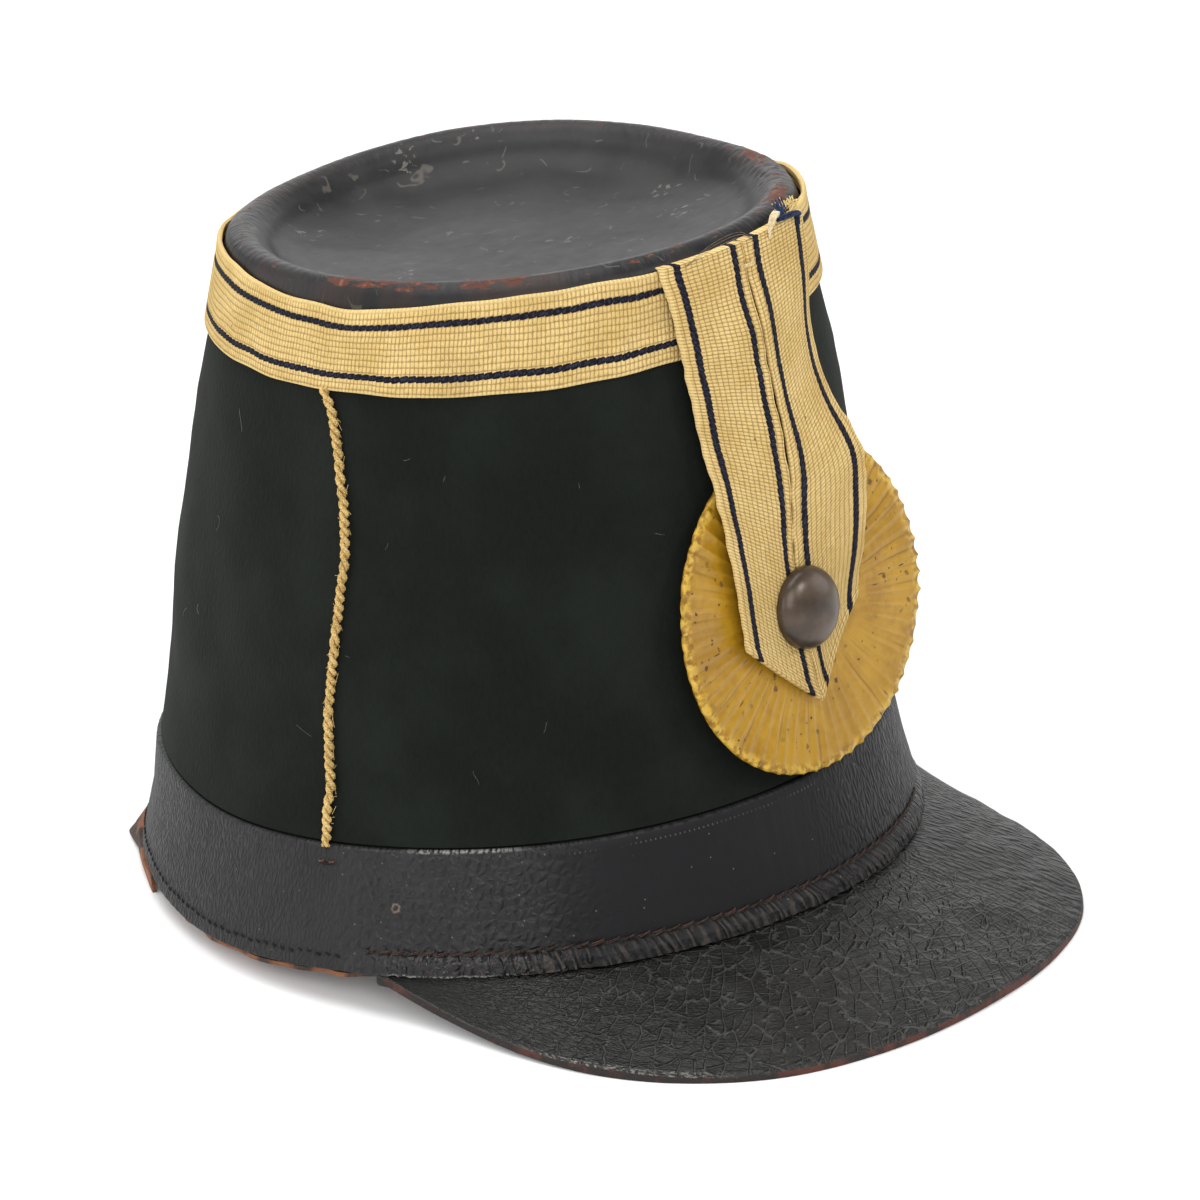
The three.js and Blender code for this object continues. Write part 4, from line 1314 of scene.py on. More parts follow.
@dataclass
class TopBand:
    """The webbing band round the top of the wall."""

    webbing: float = 1.3
    foot: float = 139.9
    wave: Curve = Curve(
        ((0, 0.6), (45, 1.5), (83, -1.5), (120, 0.4), (180, 0)), Ending.LEVEL, Ending.LEVEL
    )
    steps: int = 520
    girth: float = 73.0
    base: float = 90.0  # the radius that it is spun on
    edge_waves: Pair = (0.22, 0.08)
    puff: float = 0.12
    stripe_inset: float = 4.1

    def build(self) -> None:
        """Builds the band."""
        tall = HAT.height - self.foot
        outer = HAT.gap + self.webbing
        rows = [(HAT.gap, 0.0), (HAT.gap + 0.45, -0.28), (outer - 0.35, -0.2), (outer, 0.3)]
        rows += [(outer, tall * s) for s in np.linspace(0.1, 0.9, 9)]
        rows += [(outer, tall - 0.3), (outer - 0.35, tall + 0.2), (HAT.gap + 0.45, tall + 0.28)]
        rows += [(HAT.gap, tall - 0.1), (HAT.gap, tall / 2)]
        work = Workpiece()
        work.spin([(self.base + offset, height) for offset, height in rows], self.steps)
        work.lay_round(self.girth)
        edge, swell = Ripple(41, 24.0), Ripple(42, 9.0)

        def place(turn: Array, height: Array, radius: Array) -> Array:
            """Bends the band to the hat, with its slack upper edge."""
            share = height / tall
            way = turn * self.girth
            rise = self.wave.at(np.abs(np.degrees(turn))) * share
            long, short = self.edge_waves
            rise += edge.at(way, height) * long + swell.at(way, height) * short
            puff = self.puff * swell.at(way, height * 2.0) * np.clip(share, 0.0, 1.0)
            outward = (radius - self.base > HAT.gap + 0.1) * puff
            return HAT.stand(HAT.point(turn, self.foot + height + rise, radius - self.base + outward))

        work.bend_round(place)
        finish = WebbingFinish("band_webbing", tall, (self.stripe_inset, self.stripe_inset)).material()
        work.finish(PieceSpec("webbing_band", "webbing", (finish,), "top_band"))


@dataclass(frozen=True)
class CockadeSeat:
    """The plane that the cockade, the strips and the button lie on."""

    centre: tuple[float, float, float] = (4.9, -96.0, 73.0)
    pitch: float = math.radians(6.0)
    yaw: float = math.radians(-2.0)
    flute_depth: float = 0.6

    def normal(self) -> Vector:
        """The way the cockade faces."""
        facing = Matrix.Rotation(-self.pitch, 3, "X") @ Vector((0.0, -1.0, 0.0))
        return Matrix.Rotation(self.yaw, 3, "Z") @ facing

    def point(self, side: Array, height: Array, out: Array) -> Array:
        """A point in front of the cockade.

        Args:
            side: to the wearer's left.
            height: over the rim.
            out: out from the crests of the flutes.

        Returns:
            The points, one a row.
        """
        nx, ny, nz = self.normal()
        slope = (side - self.centre[0]) * nx + (height - self.centre[2]) * nz
        spots = np.stack([side, self.centre[1] - slope / ny, height], axis=-1)
        return spots + np.multiply.outer(self.flute_depth + out, np.array((nx, ny, nz)))

    def turned(self, spots: Array, seat: Array) -> Array:
        """Turns points made about +Y to face the cockade's way, and moves them to a seat."""
        turn = Vector((0.0, 1.0, 0.0)).rotation_difference(self.normal()).to_matrix()
        return spots @ np.array(turn).T + seat


SEAT = CockadeSeat()


@dataclass
class LoopStrip:
    """One of the two webbing strips of the front loop."""

    side: Side
    webbing: float = 1.3
    slit: Curve = Curve(((48, 4.3), (68, 2.1), (85, 1.5), (103, 1.3), (134, -0.6), (162, -2.3)))
    left: Curve = Curve(((48, 19), (68, 20.3), (85, 26.8), (103, 28.6), (134, 22.6), (162, 23.8)))
    right: Curve = Curve(((48, -18.6), (68, -19.6), (85, -20.2), (103, -21.4), (134, -23.4), (162, -26)))
    slit_stand: Curve = Curve(
        (
            (48, 0), (85, 0), (95, 1), (105, 2.6), (117, 3.1),
            (124, 2.8), (134, 2.4), (142, 2.1), (152, 0.4), (163, 0),
        )
    )
    left_stand: Curve = Curve(
        (
            (48, 0), (85, 0), (95, 0.7), (105, 1.2), (117, -2.6),
            (124, -2.6), (134, -0.8), (142, 0), (152, 0.6), (163, 0),
        )
    )
    right_stand: Curve = Curve(
        (
            (48, 0.6), (60, 1.2), (85, 1.4), (95, 1.2), (105, 0.5), (117, -0.9),
            (124, -0.2), (134, 1), (142, 1.2), (152, 0.8), (163, 0),
        )
    )
    slit_gap: Curve = Curve(((48, 0.4), (80, 0.45), (105, 0.9), (135, 1.0), (155, 0.5), (163, 0.4)))
    tip: Pair = (4.2, 48.8)
    left_slant: float = 1.45
    right_slant: float = 0.84
    shoulder: float = 161.9
    top: float = 162.8
    corner_sag: float = 1.0
    free_zone: Zone = (0.05, 0.3, 0.9, 1.0)
    hem_bulge: float = 0.55
    hem_fade: Pair = (1.2, 3.4)
    fold_start: float = 0.985
    fold_depth: float = 1.5
    on_crown: float = 141.0
    on_cockade: float = 112.0
    width: float = 23.0
    length: float = 115.0

    def edge_at(self, height: Array) -> Array:
        """Where the outer edge lies at a height."""
        return (self.left if self.side is Side.LEFT else self.right).at(height)

    def stand_at(self, height: Array, across: Array) -> Array:
        """How far a point stands off what the strip lies on."""
        slit = self.slit_stand.at(height)
        edge = (self.left_stand if self.side is Side.LEFT else self.right_stand).at(height)
        return slit + (edge - slit) * np.clip(across, 0.0, 1.0)

    def side_at(self, height: Array, across: Array) -> Array:
        """How far to the left a point lies: across goes from the slit to the outer edge."""
        inner = self.slit.at(height) + self.side.value * self.slit_gap.at(height) / 2
        return inner + (self.edge_at(height) - inner) * across

    def point(self, across: Array, along: Array, out: Array) -> Array:
        """A point of the strip.

        Args:
            across: from 0 at the slit to 1 at the outer edge.
            along: from 0 at the foot to 1 at the top.
            out: out from the strip's back.

        Returns:
            The points, one a row, before the hat is pitched.
        """
        tip_side, tip_height = self.tip
        slant = self.left_slant if self.side is Side.LEFT else self.right_slant
        away = np.abs(self.side_at(np.full_like(across, tip_height), across) - tip_side)
        foot = tip_height + slant * away
        turned_in = eased(along, self.fold_start, 1.0)
        straight = foot + (self.shoulder - foot) * np.minimum(along / self.fold_start, 1.0)
        sag = self.corner_sag if self.side is Side.LEFT else 0.0
        height = straight + (self.top - straight) * turned_in
        height = height - sag * eased(along, 0.8, 1.0) * np.clip(across, 0.0, 1.0) ** 3
        spread = self.side_at(height, across)
        fold = (1.0 - out / self.webbing) * turned_in * self.fold_depth
        depth = out - fold + self.stand_at(height, across)
        crown = eased(height, self.on_cockade, self.on_crown)[:, None]
        flat = SEAT.point(spread, height, HAT.gap + depth)
        bent = HAT.front_point(spread, height, 2 * HAT.gap + self.webbing + depth)
        return flat + (bent - flat) * crown

    def build(self, finish: Material) -> None:
        """Builds the strip.

        Args:
            finish: the webbing.
        """
        work = Workpiece()
        work.slab((self.width, self.length, self.webbing), (32, 150), 0.5)
        work.lay_flat()
        swell, edge = Ripple(51 + self.side.value, 17.0), Ripple(54 + self.side.value, 8.0)

        def place(spots: Array) -> Array:
            """Lays the strip over the cockade and the band, a little uneven."""
            across, along, out = spots[:, 0] / self.width, spots[:, 1] / self.length, spots[:, 2]
            rim = np.abs(2.0 * across - 1.0) ** 6
            across = across + 0.011 * edge.at(spots[:, 1]) * rim * np.sign(2.0 * across - 1.0)
            free = within(along, self.free_zone)
            hem = self.hem_bulge * (1.0 - eased(spots[:, 1], *self.hem_fade)) * (out > 0.5 * self.webbing)
            lifted = out + hem + (0.2 + 0.2 * swell.at(spots[:, 0], spots[:, 1])) * free
            return HAT.stand(self.point(across, along, lifted))

        work.bend(place)
        if self.side is Side.RIGHT:
            bmesh.ops.reverse_faces(work.bm, faces=work.bm.faces)
        name = f"loop_strip_{self.side.name.lower()}"
        work.finish(PieceSpec(f"webbing_{name}", "webbing", (finish,), name))


@dataclass
class FrontLoop:
    """The two strips of the front loop, the tie across their slit and their frayed corner."""

    tie_places: Pair = (0.941, 0.945)
    tie_radius: float = 0.27
    navy_radius: float = 0.3
    navy_plies: int = 5
    navy_ends: int = 9
    navy_end_radius: float = 0.2
    curl_radius: float = 0.34
    curl_plies: int = 4
    frays: int = 46
    fray_radius: float = 0.14
    hair_rises: tuple[float, float, float] = (1.6, 2.3, 2.9)
    hair_radius: float = 0.05

    def build(self) -> None:
        """Builds the strips and what hangs loose on them."""
        finish = WebbingFinish("loop_webbing", 23.0, (3.4, 3.6), stripe_half=0.92).material()
        left, right = LoopStrip(Side.LEFT), LoopStrip(Side.RIGHT)
        left.build(finish)
        right.build(finish)
        self._tie(left)
        self._corner(left)

    def _thread(self, strip: LoopStrip, route: Sequence[Sequence[float]]) -> Array:
        """A smooth path over a strip.

        Args:
            strip: the strip.
            route: its places, each across the strip, along it, out from its back and up from there.

        Returns:
            The path, in metres.
        """
        steps = np.linspace(0.0, 1.0, len(route))
        at = np.linspace(0.0, 1.0, 6 * len(route))
        across, along, out, rise = (Curve(tuple(zip(steps, column))).at(at) for column in zip(*route))
        spots = strip.point(across, along, out)
        spots[:, 2] += rise
        return HAT.stand(spots)

    def _tie(self, strip: LoopStrip) -> None:
        """A few turns of thread across the slit, near the top."""
        ties = Strands(6)
        for along in self.tie_places:
            route = ((-0.1, along, 1.5, 0.0), (0.0, along, 1.95, 0.1), (0.07, along, 1.5, 0.0))
            ties.add(self._thread(strip, route), self.tie_radius)
        finish = ThreadFinish("straw_thread", rgb(0.8, 0.63, 0.34), rgb(0.5, 0.34, 0.13)).material()
        ties.finish(PieceSpec("slit_tie", "webbing", (finish,)))

    def _corner(self, strip: LoopStrip) -> None:
        """Loose threads at the left strip's top: a navy one along its edge, a pale curl, and frays."""
        draw = np.random.default_rng(62)
        navy, curl, frays, hairs = Strands(6), Strands(6), Strands(6), Strands(4)
        edge = (
            (0.49, 1.0, 1.2, 1.0), (0.6, 1.0, 1.8, 1.3), (0.73, 1.0, 1.9, 1.1),
            (0.82, 0.992, 1.9, 0.6), (0.85, 0.965, 1.4, 0.3),
        )
        for ply in range(self.navy_plies):
            turn = ply * 2.0 * math.pi / self.navy_plies
            shift = (0.011 * math.cos(turn), 0.0, 0.3 * math.cos(turn), 0.36 * math.sin(turn))
            navy.add(self._thread(strip, np.add(edge, shift)), self.navy_radius)
        for _ in range(self.navy_ends):
            first = (draw.uniform(0.56, 0.76), 1.0, 0.9, 1.4)
            move = (draw.uniform(0.04, 0.12), 0.0, -1.3, draw.uniform(1.2, 2.4))
            navy.add(self._thread(strip, (first, np.add(first, move))), self.navy_end_radius)
        bow = (
            (0.345, 0.972, 1.5, 0.0), (0.318, 0.99, 2.2, 1.0), (0.37, 1.0, 2.2, 3.0),
            (0.455, 1.0, 1.9, 3.3), (0.5, 1.0, 1.3, 1.7),
        )
        for ply in range(self.curl_plies):
            shift = (0.011 * ply, 0.0, -0.3 * ply, -0.12 * ply)
            curl.add(self._thread(strip, np.add(bow, shift)), self.curl_radius)
        for _ in range(self.frays):
            first = (draw.uniform(0.78, 1.02), 1.0, draw.uniform(-0.8, 0.8), draw.uniform(0.0, 1.8))
            move = (draw.normal(0.03, 0.05), 0.0, draw.uniform(-0.8, 0.6), draw.uniform(0.3, 1.5))
            frays.add(self._thread(strip, (first, np.add(first, move))), self.fray_radius)
        for rise in self.hair_rises:
            middle = ((-0.4, 1.0, 1.8, rise), (-0.1, 1.0, 1.6, rise))
            route = ((-0.72, 0.985, 1.5, 0.0), *middle, (0.1, 0.992, 1.6, 0.0))
            hairs.add(self._thread(strip, route), self.hair_radius)
        threads = (
            (navy, "corner_navy_threads", "navy_thread", rgb(0.022, 0.05, 0.125), rgb(0.006, 0.01, 0.03)),
            (curl, "corner_curl", "pale_selvedge", rgb(0.86, 0.74, 0.52), rgb(0.6, 0.44, 0.22)),
            (frays, "corner_straw_threads", "frayed_straw", rgb(0.82, 0.66, 0.3), rgb(0.58, 0.4, 0.14)),
            (hairs, "corner_hairs", "loose_hair", rgb(0.3, 0.22, 0.15), rgb(0.1, 0.07, 0.05)),
        )
        for bundle, name, *tones in threads:
            bundle.finish(PieceSpec(name, "webbing", (ThreadFinish(*tones).material(),)))


@dataclass
class Cockade:
    """The fluted cockade and the domed button in its middle."""

    radius: float = 41.3
    sheet: float = 1.4
    flutes: int = 60
    flute_jog: float = 0.007
    flute_start: float = 9.0
    flute_depth: float = 0.46
    scallop: float = 0.2
    lay_radius: float = 30.0
    steps: int = 720
    button_radius: float = 10.0
    button_edge: float = 0.8
    button_rise: float = 5.2
    button_side: float = 2.0
    button_height: float = 72.9
    button_steps: int = 72
    webbing: float = 1.3

    def build(self) -> None:
        """Builds the cockade and its button."""
        self._disc()
        self._button()

    def _disc(self) -> None:
        """The pressed sheet, its flutes deeper towards the edge."""
        radii = np.concatenate([[0.0, 4.0], np.linspace(self.flute_start, self.radius - 0.5, 22)])
        face = [(r, 0.0) for r in radii] + [(self.radius, -0.35), (self.radius, -self.sheet + 0.35)]
        back = [(r, -self.sheet) for r in (self.radius - 0.5, 30.0, self.flute_start, 0.0)]
        work = Workpiece()
        work.spin(face + back, self.steps, closed=False)
        soft, jog = Ripple(71, 13.0), Ripple(72, 17.0)
        work.bm.verts.index_update()
        spots = np.array([vert.co for vert in work.bm.verts])
        jogs = self.flute_jog * jog.at(spots[:, 0], spots[:, 1])
        work.lay_round(self.lay_radius)
        for flat in work.bm.faces:
            for loop in flat.loops:
                along = loop[work.lay_map].uv.x + jogs[loop.vert.index] * self.lay_radius
                loop[work.lay_map].uv = (along, math.hypot(loop.vert.co.x, loop.vert.co.y))

        def place(turn: Array, height: Array, radius: Array) -> Array:
            """Presses the flutes and sets the sheet on its seat."""
            x, z = radius * np.sin(turn), -radius * np.cos(turn)
            beat = self.flutes * (turn + self.flute_jog * jog.at(x, z))
            wave = 1.0 - 2.0 * np.abs(np.sin(beat / 2.0)) ** 0.8
            deep = eased(radius, self.flute_start, self.radius) * (0.64 + 0.36 * soft.at(x, z))
            stretch = 1.0 + deep * wave * self.scallop / self.radius
            rise = height + deep * wave * self.flute_depth + 0.25 * soft.at(x, z) * (radius / self.radius)
            spots = np.stack([x * stretch, rise, z * stretch], axis=-1)
            return HAT.stand(SEAT.turned(spots, np.array(SEAT.centre)))

        work.bend_round(place)
        bmesh.ops.recalc_face_normals(work.bm, faces=work.bm.faces)
        finish = CockadeFinish().material()
        work.finish(PieceSpec("fluted_cockade", "cockade_sheet", (finish,), "cockade", 65.0))

    def _button(self) -> None:
        """The domed button, with its edge turned under."""
        rim = [(0.0, 0.0), (self.button_radius - 0.7, 0.0), (self.button_radius, 0.3)]
        rim += [(self.button_radius + 0.05, self.button_edge * 0.7)]
        rise = np.linspace(0.06, math.pi / 2, 22)
        heights = self.button_edge + self.button_rise * np.sin(rise)
        dome = list(zip(self.button_radius * np.cos(rise), heights))
        work = Workpiece()
        work.spin(rim + dome[:-1] + [(0.0, dome[-1][1])], self.button_steps, closed=False)
        work.lay_round(self.button_radius)
        side, height = np.array([self.button_side]), np.array([self.button_height])
        seat = SEAT.point(side, height, np.array([2 * HAT.gap + self.webbing]))
        dull = Ripple(75, 6.0)

        def place(spots: Array) -> Array:
            """Stands the button on the strips."""
            lifted = spots[:, 2] + 0.03 * dull.at(spots[:, 0], spots[:, 1]) * (spots[:, 2] > 1.0)
            local = np.stack([spots[:, 0], lifted, -spots[:, 1]], axis=-1)
            return HAT.stand(SEAT.turned(local, seat))

        work.bend(place)
        bmesh.ops.recalc_face_normals(work.bm, faces=work.bm.faces)
        work.finish(PieceSpec("domed_button", "button_metal", (BronzeFinish().material(),), "button"))


@dataclass
class SideCord:
    """A twisted cord of two strands, sewn down one side of the felt."""

    side: Side
    route: Curve = Curve(
        (
            (30.2, 75.7), (44, 75.6), (60.4, 76.3), (80.5, 75.8),
            (104.9, 75.4), (119, 77.4), (132.9, 80.2), (139.4, 82.8),
        )
    )
    foot: float = 29.4
    head: float = 140.4
    strand: float = 0.64
    twist: float = 0.62
    turn_length: float = 5.2
    fibres: int = 3
    loose: int = 60
    loose_radius: float = 0.06
    girth: float = 85.0

    def build(self, finish: Material) -> None:
        """Builds the cord.

        Args:
            finish: the cord's thread.
        """
        draw = np.random.default_rng(80 + self.side.value)
        heights = np.linspace(self.foot, self.head, 330)
        angles = np.radians(self.route.at(heights)) * self.side.value
        sway = Ripple(82 + self.side.value, 16.0).at(heights) * 0.25
        beat = 2.0 * math.pi * heights / self.turn_length + 0.7 * Ripple(84, 20.0).at(heights)
        bundle = Strands(8)
        reach = HAT.gap + self.twist + self.strand
        for ply in range(2):
            phase = beat + ply * math.pi
            for fibre in range(self.fibres):
                roll = 2.4 * beat + fibre * 2.0 * math.pi / self.fibres
                inner = self.strand * 0.5
                aside = self.twist * np.cos(phase) + inner * np.cos(roll) + sway
                out = self.twist * np.sin(phase) + inner * np.sin(roll)
                radius = HAT.radius.at(HAT.share(heights))
                spots = HAT.point(angles + aside / radius, heights, reach - 0.25 + out)
                bundle.add(HAT.stand(spots), self.strand * 0.56)
        for _ in range(self.loose):
            at = draw.uniform(self.foot + 2.0, self.head - 2.0)
            share = np.linspace(0.0, 1.0, 6)
            rise = at + share * draw.normal(0.0, 1.6)
            angle = np.radians(self.route.at(rise)) * self.side.value
            aside = draw.choice((-1.0, 1.0)) * (0.9 + share * draw.uniform(0.2, 1.1))
            spots = HAT.point(angle + aside / self.girth, rise, 1.0 + share * draw.uniform(-0.4, 1.2))
            bundle.add(HAT.stand(spots), self.loose_radius)
        name = f"side_cord_{self.side.name.lower()}"
        bundle.finish(PieceSpec(f"twisted_{name}", "cord", (finish,), name, 80.0))


@dataclass
class BaseBand:
    """The leather base band with its hem over the peak, and the stitches along its foot."""

    height: float = 29.6
    thickness: float = 1.7
    face: float = 0.85
    hem_height: float = 5.2
    hem_shoulder: float = 2.6
    hem_bulge: float = 1.4
    hem_span: float = math.radians(66.0)
    hem_fade: float = math.radians(72.0)
    rib: float = 0.55
    sway: float = 0.15
    groove: float = 0.3
    swell: float = 0.22
    line: float = 0.05
    steps: int = 1304
    girth: float = 100.0
    base: float = 120.0  # the radius that it is spun on
    edge_pitch: float = 2.75
    edge_height: float = 3.6
    edge_stitch: Pair = (1.0, 0.32)  # length and radius, as below
    edge_run: Pair = (math.radians(69.0), math.radians(291.0))
    hem_pitch: float = 3.7
    hem_stitch: Pair = (3.3, 0.24)
    hem_run: Pair = (math.radians(-68.0), math.radians(34.0))
    cord_place: Pair = (math.radians(75.4), 25.4)
    cord_asides: Pair = (-1.55, 1.45)
    cord_end: Pair = (1.3, 0.3)
    # length and radius of the dark strand that is painted shade for the slot under each cord
    cord_slot: Pair = (3.4, 0.42)

    def hem(self, turn: Array, height: Array) -> Array:
        """How far the hem stands out, from 0 to 1."""
        over_peak = 1.0 - eased(np.abs(turn), self.hem_span, self.hem_fade)
        over_peak = over_peak * (1.0 - 0.6 * eased(np.degrees(turn), 20.0, 42.0))
        return over_peak * (1.0 - eased(height, self.hem_shoulder, self.hem_height))

    def outside(self, turn: Array, height: Array) -> Array:
        """The band's face over the felt's, with the hem and its ribs."""
        hem = self.hem(turn, height)
        way = turn * self.girth
        ribs = (0.5 - np.abs(Ripple(91, 5.2, 16).at(way))) * self.rib
        ribs = ribs + Ripple(92, 9.0).at(way) * self.sway
        groove = bell(height, self.hem_height, 0.55)
        over_peak = 1.0 - eased(np.abs(turn), self.hem_span, self.hem_fade)
        fall = self.hem_bulge * hem + ribs * hem - self.groove * groove * over_peak
        swell = Ripple(93, 30.0).at(way, height) * self.swell * eased(height, self.hem_height, 12.0)
        lines = Ripple(94, 3.4, 16).at(way, height * 0.12) * self.line * (1.0 - hem)
        return self.face + fall + swell + lines

    def build(self) -> None:
        """Builds the band and its stitches."""
        self._band()
        self._edge_stitches()
        self._hem_stitches()
        self._cord_stitch()

    def _band(self) -> None:
        """The leather itself."""
        low = np.linspace(0.35, self.hem_height + 0.6, 12)
        high = np.linspace(self.hem_height + 1.6, self.height - 0.5, 12)
        outer = [(self.base + 1.0, h) for h in (*low, *high)]
        edge = [(self.base + 0.6, self.height - 0.1), (self.base - 0.5, self.height)]
        inner = [(self.base - 1.0, h) for h in (self.height - 0.3, self.height / 2, 0.3)]
        rows = outer + edge + inner + [(self.base - 0.6, 0.0), (self.base + 0.6, 0.0)]
        work = Workpiece()
        work.spin(rows, self.steps)
        work.lay_round(self.girth)

        def place(turn: Array, height: Array, radius: Array) -> Array:
            """Bends the leather to the hat, between its back and its face."""
            share = (radius - self.base + 1.0) / 2.0
            back = self.face - self.thickness
            offset = back + (self.outside(turn, height) - back) * share
            return HAT.stand(HAT.on_floor(HAT.point(turn, height, offset)))

        work.bend_round(place)
        finish = BandLeatherFinish(girth=self.girth, height=self.height).material()
        work.finish(PieceSpec("leather_base_band", "band_leather", (finish,), "base_band"))

    def _stitch(self, turn: float, height: float, length: float, slant: float, lift: float) -> Array:
        """A stitch that comes out of the leather and goes back into it.

        Args:
            turn: where its middle lies, in radians.
            height: its middle's height.
            length: its length.
            slant: how far it rises along its length.
            lift: how far it stands off the leather.

        Returns:
            Its path, in metres.
        """
        share = np.linspace(-1.0, 1.0, 9)
        turns = turn + share * length / 2.0 / self.girth
        heights = height + share * slant / 2.0
        out = self.outside(turns, heights) + lift * (1.0 - 2.2 * share**4)
        return HAT.stand(HAT.point(turns, heights, out))

    def _edge_stitches(self) -> None:
        """Dark stitches along the foot behind the peak."""
        draw = np.random.default_rng(95)
        bundle = Strands(6)
        length, radius = self.edge_stitch
        start, end = self.edge_run
        for k in range(int((end - start) * self.girth / self.edge_pitch)):
            turn = start + k * self.edge_pitch / self.girth
            height = self.edge_height + draw.normal(0.0, 0.14)
            bundle.add(self._stitch(turn, height, length, draw.normal(-0.3, 0.15), 0.1), radius)
        finish = ThreadFinish("black_thread", rgb(0.008, 0.008, 0.008), rgb(0.002, 0.002, 0.002), 0.7)
        bundle.finish(PieceSpec("edge_stitches", "band_leather", (finish.material(),)))

    def _hem_stitches(self) -> None:
        """Brown thread along the upper edge of the hem, from the peak's right end past its middle."""
        draw = np.random.default_rng(96)
        bundle = Strands(6)
        length, radius = self.hem_stitch
        start, end = self.hem_run
        for k in range(int((end - start) * self.girth / self.hem_pitch)):
            turn = start + (k + 0.5) * self.hem_pitch / self.girth
            for ply in range(2):
                height = self.hem_height + 0.05 + 0.3 * ply + draw.normal(0.0, 0.08)
                path = self._stitch(turn, height, length, 0.9, 0.34)
                bundle.add(path, radius * draw.uniform(0.85, 1.1))
        finish = ThreadFinish("brown_thread", rgb(0.066, 0.035, 0.026), rgb(0.01, 0.007, 0.006), 0.6)
        bundle.finish(PieceSpec("hem_stitches", "band_leather", (finish.material(),)))

    def _cord_stitch(self) -> None:
        """The small stitch under the foot of each side cord: rust thread ends, with a dark strand between
        them as painted shade for the slot.
        """
        rust, dark = Strands(6), Strands(6)
        middle, height = self.cord_place
        end, end_radius = self.cord_end
        length, radius = self.cord_slot
        for side in Side:
            for aside in self.cord_asides:
                turn = side.value * (middle + aside / self.girth)
                rust.add(self._stitch(turn, height + 0.15, end, 0.2, 0.3), end_radius)
            # Painted shade: a near-black strand stands for the dark slot between the thread ends.
            dark.add(self._stitch(side.value * middle, height - 0.3, length, 0.0, 0.12), radius)
        finish = ThreadFinish("rust_thread", rgb(0.22, 0.09, 0.04), rgb(0.05, 0.02, 0.012), 0.7)
        rust.finish(PieceSpec("cord_stitch_ends", "band_leather", (finish.material(),)))
        black = rgb(0.004, 0.003, 0.003)
        finish = ThreadFinish("cord_slot_shade", rgb(0.02, 0.011, 0.009), black, 0.8)
        dark.finish(PieceSpec("cord_slot_shades", "band_leather", (finish.material(),)))


@dataclass
class Peak:
    """The sloping leather peak, with its raw edge."""

    half_span: float = math.radians(65.8)
    reach: Curve = Curve(
        (
            (0, 46.8), (0.2, 46.5), (0.35, 44.1), (0.5, 36.3), (0.6, 28.3),
            (0.7, 18.6), (0.8, 9.5), (0.9, 3.6), (1, 0),
        ),
        Ending.LEVEL,
    )
    drop: float = 17.1
    drop_power: float = 3.1
    curl: float = 1.15
    thickness: float = 2.4
    tuck: float = 3.0
    face: float = 0.85
    cells: tuple[int, int] = (260, 64)
    tuck_cells: int = 4
    length: float = 47.0
    edge_radius: float = 0.75
    lumps: Pair = (0.3, 0.1)
    girth: float = 100.0

    def build(self) -> None:
        """Builds the peak."""
        work = Workpiece()
        width = 2.0 * self.half_span * self.girth
        work.slab((width, self.length, self.thickness), self.cells, self.edge_radius)
        for face in work.bm.faces:
            cut = -0.8 < face.normal.z < 0.3
            face.material_index = 1 if cut and face.calc_center_median().y < 1.0 else 0
        for face in work.bm.faces:
            for loop in face.loops:
                loop[work.lay_map].uv = (loop.vert.co.x - width / 2, self.length - loop.vert.co.y)
        swell, fine = Ripple(101, 19.0), Ripple(102, 6.0)

        def place(spots: Array) -> Array:
            """Hangs the peak from under the rim."""
            span = np.clip(2.0 * spots[:, 0] / width - 1.0, -1.0, 1.0)
            way = spots[:, 1] / self.length
            tuck_share = self.tuck_cells / self.cells[1]
            out = np.clip(1.0 - way / (1.0 - tuck_share), 0.0, 1.0)
            tuck = np.clip((way - 1.0 + tuck_share) / tuck_share, 0.0, 1.0) * self.tuck
            angle = span * self.half_span
            still = np.zeros_like(angle)
            rim = HAT.point(angle, still, self.face - tuck)
            step = 1e-3
            outward = HAT.point(angle + step, still, still) - HAT.point(angle - step, still, still)
            outward = np.stack([outward[:, 1], -outward[:, 0], still], axis=-1)
            outward /= np.linalg.norm(outward, axis=1, keepdims=True)
            seat = -HAT.gap - self.thickness / 2.0
            drop = self.drop * (1.0 - np.abs(span) ** self.drop_power)
            fall = np.maximum(drop + seat, 0.0) * out**self.curl
            rim += outward * (self.reach.at(np.abs(span)) * out)[:, None]
            large, small = self.lumps
            lumps = swell.at(rim[:, 0], rim[:, 1]) * large + fine.at(rim[:, 0], rim[:, 1]) * small
            rim[:, 2] += seat - fall + (spots[:, 2] - self.thickness / 2.0)
            rim[:, 2] += lumps * eased(out, 0.06, 0.25) * (spots[:, 2] / self.thickness)
            return HAT.stand(HAT.on_floor(rim))

        work.bend(place)
        edge = RawEdgeFinish("peak_edge", blackened=(-72.0, -40.0))
        finishes = (PeakLeatherFinish(girth=self.girth).material(), edge.material())
        work.finish(PieceSpec("leather_peak", "peak_leather", finishes, "peak"))


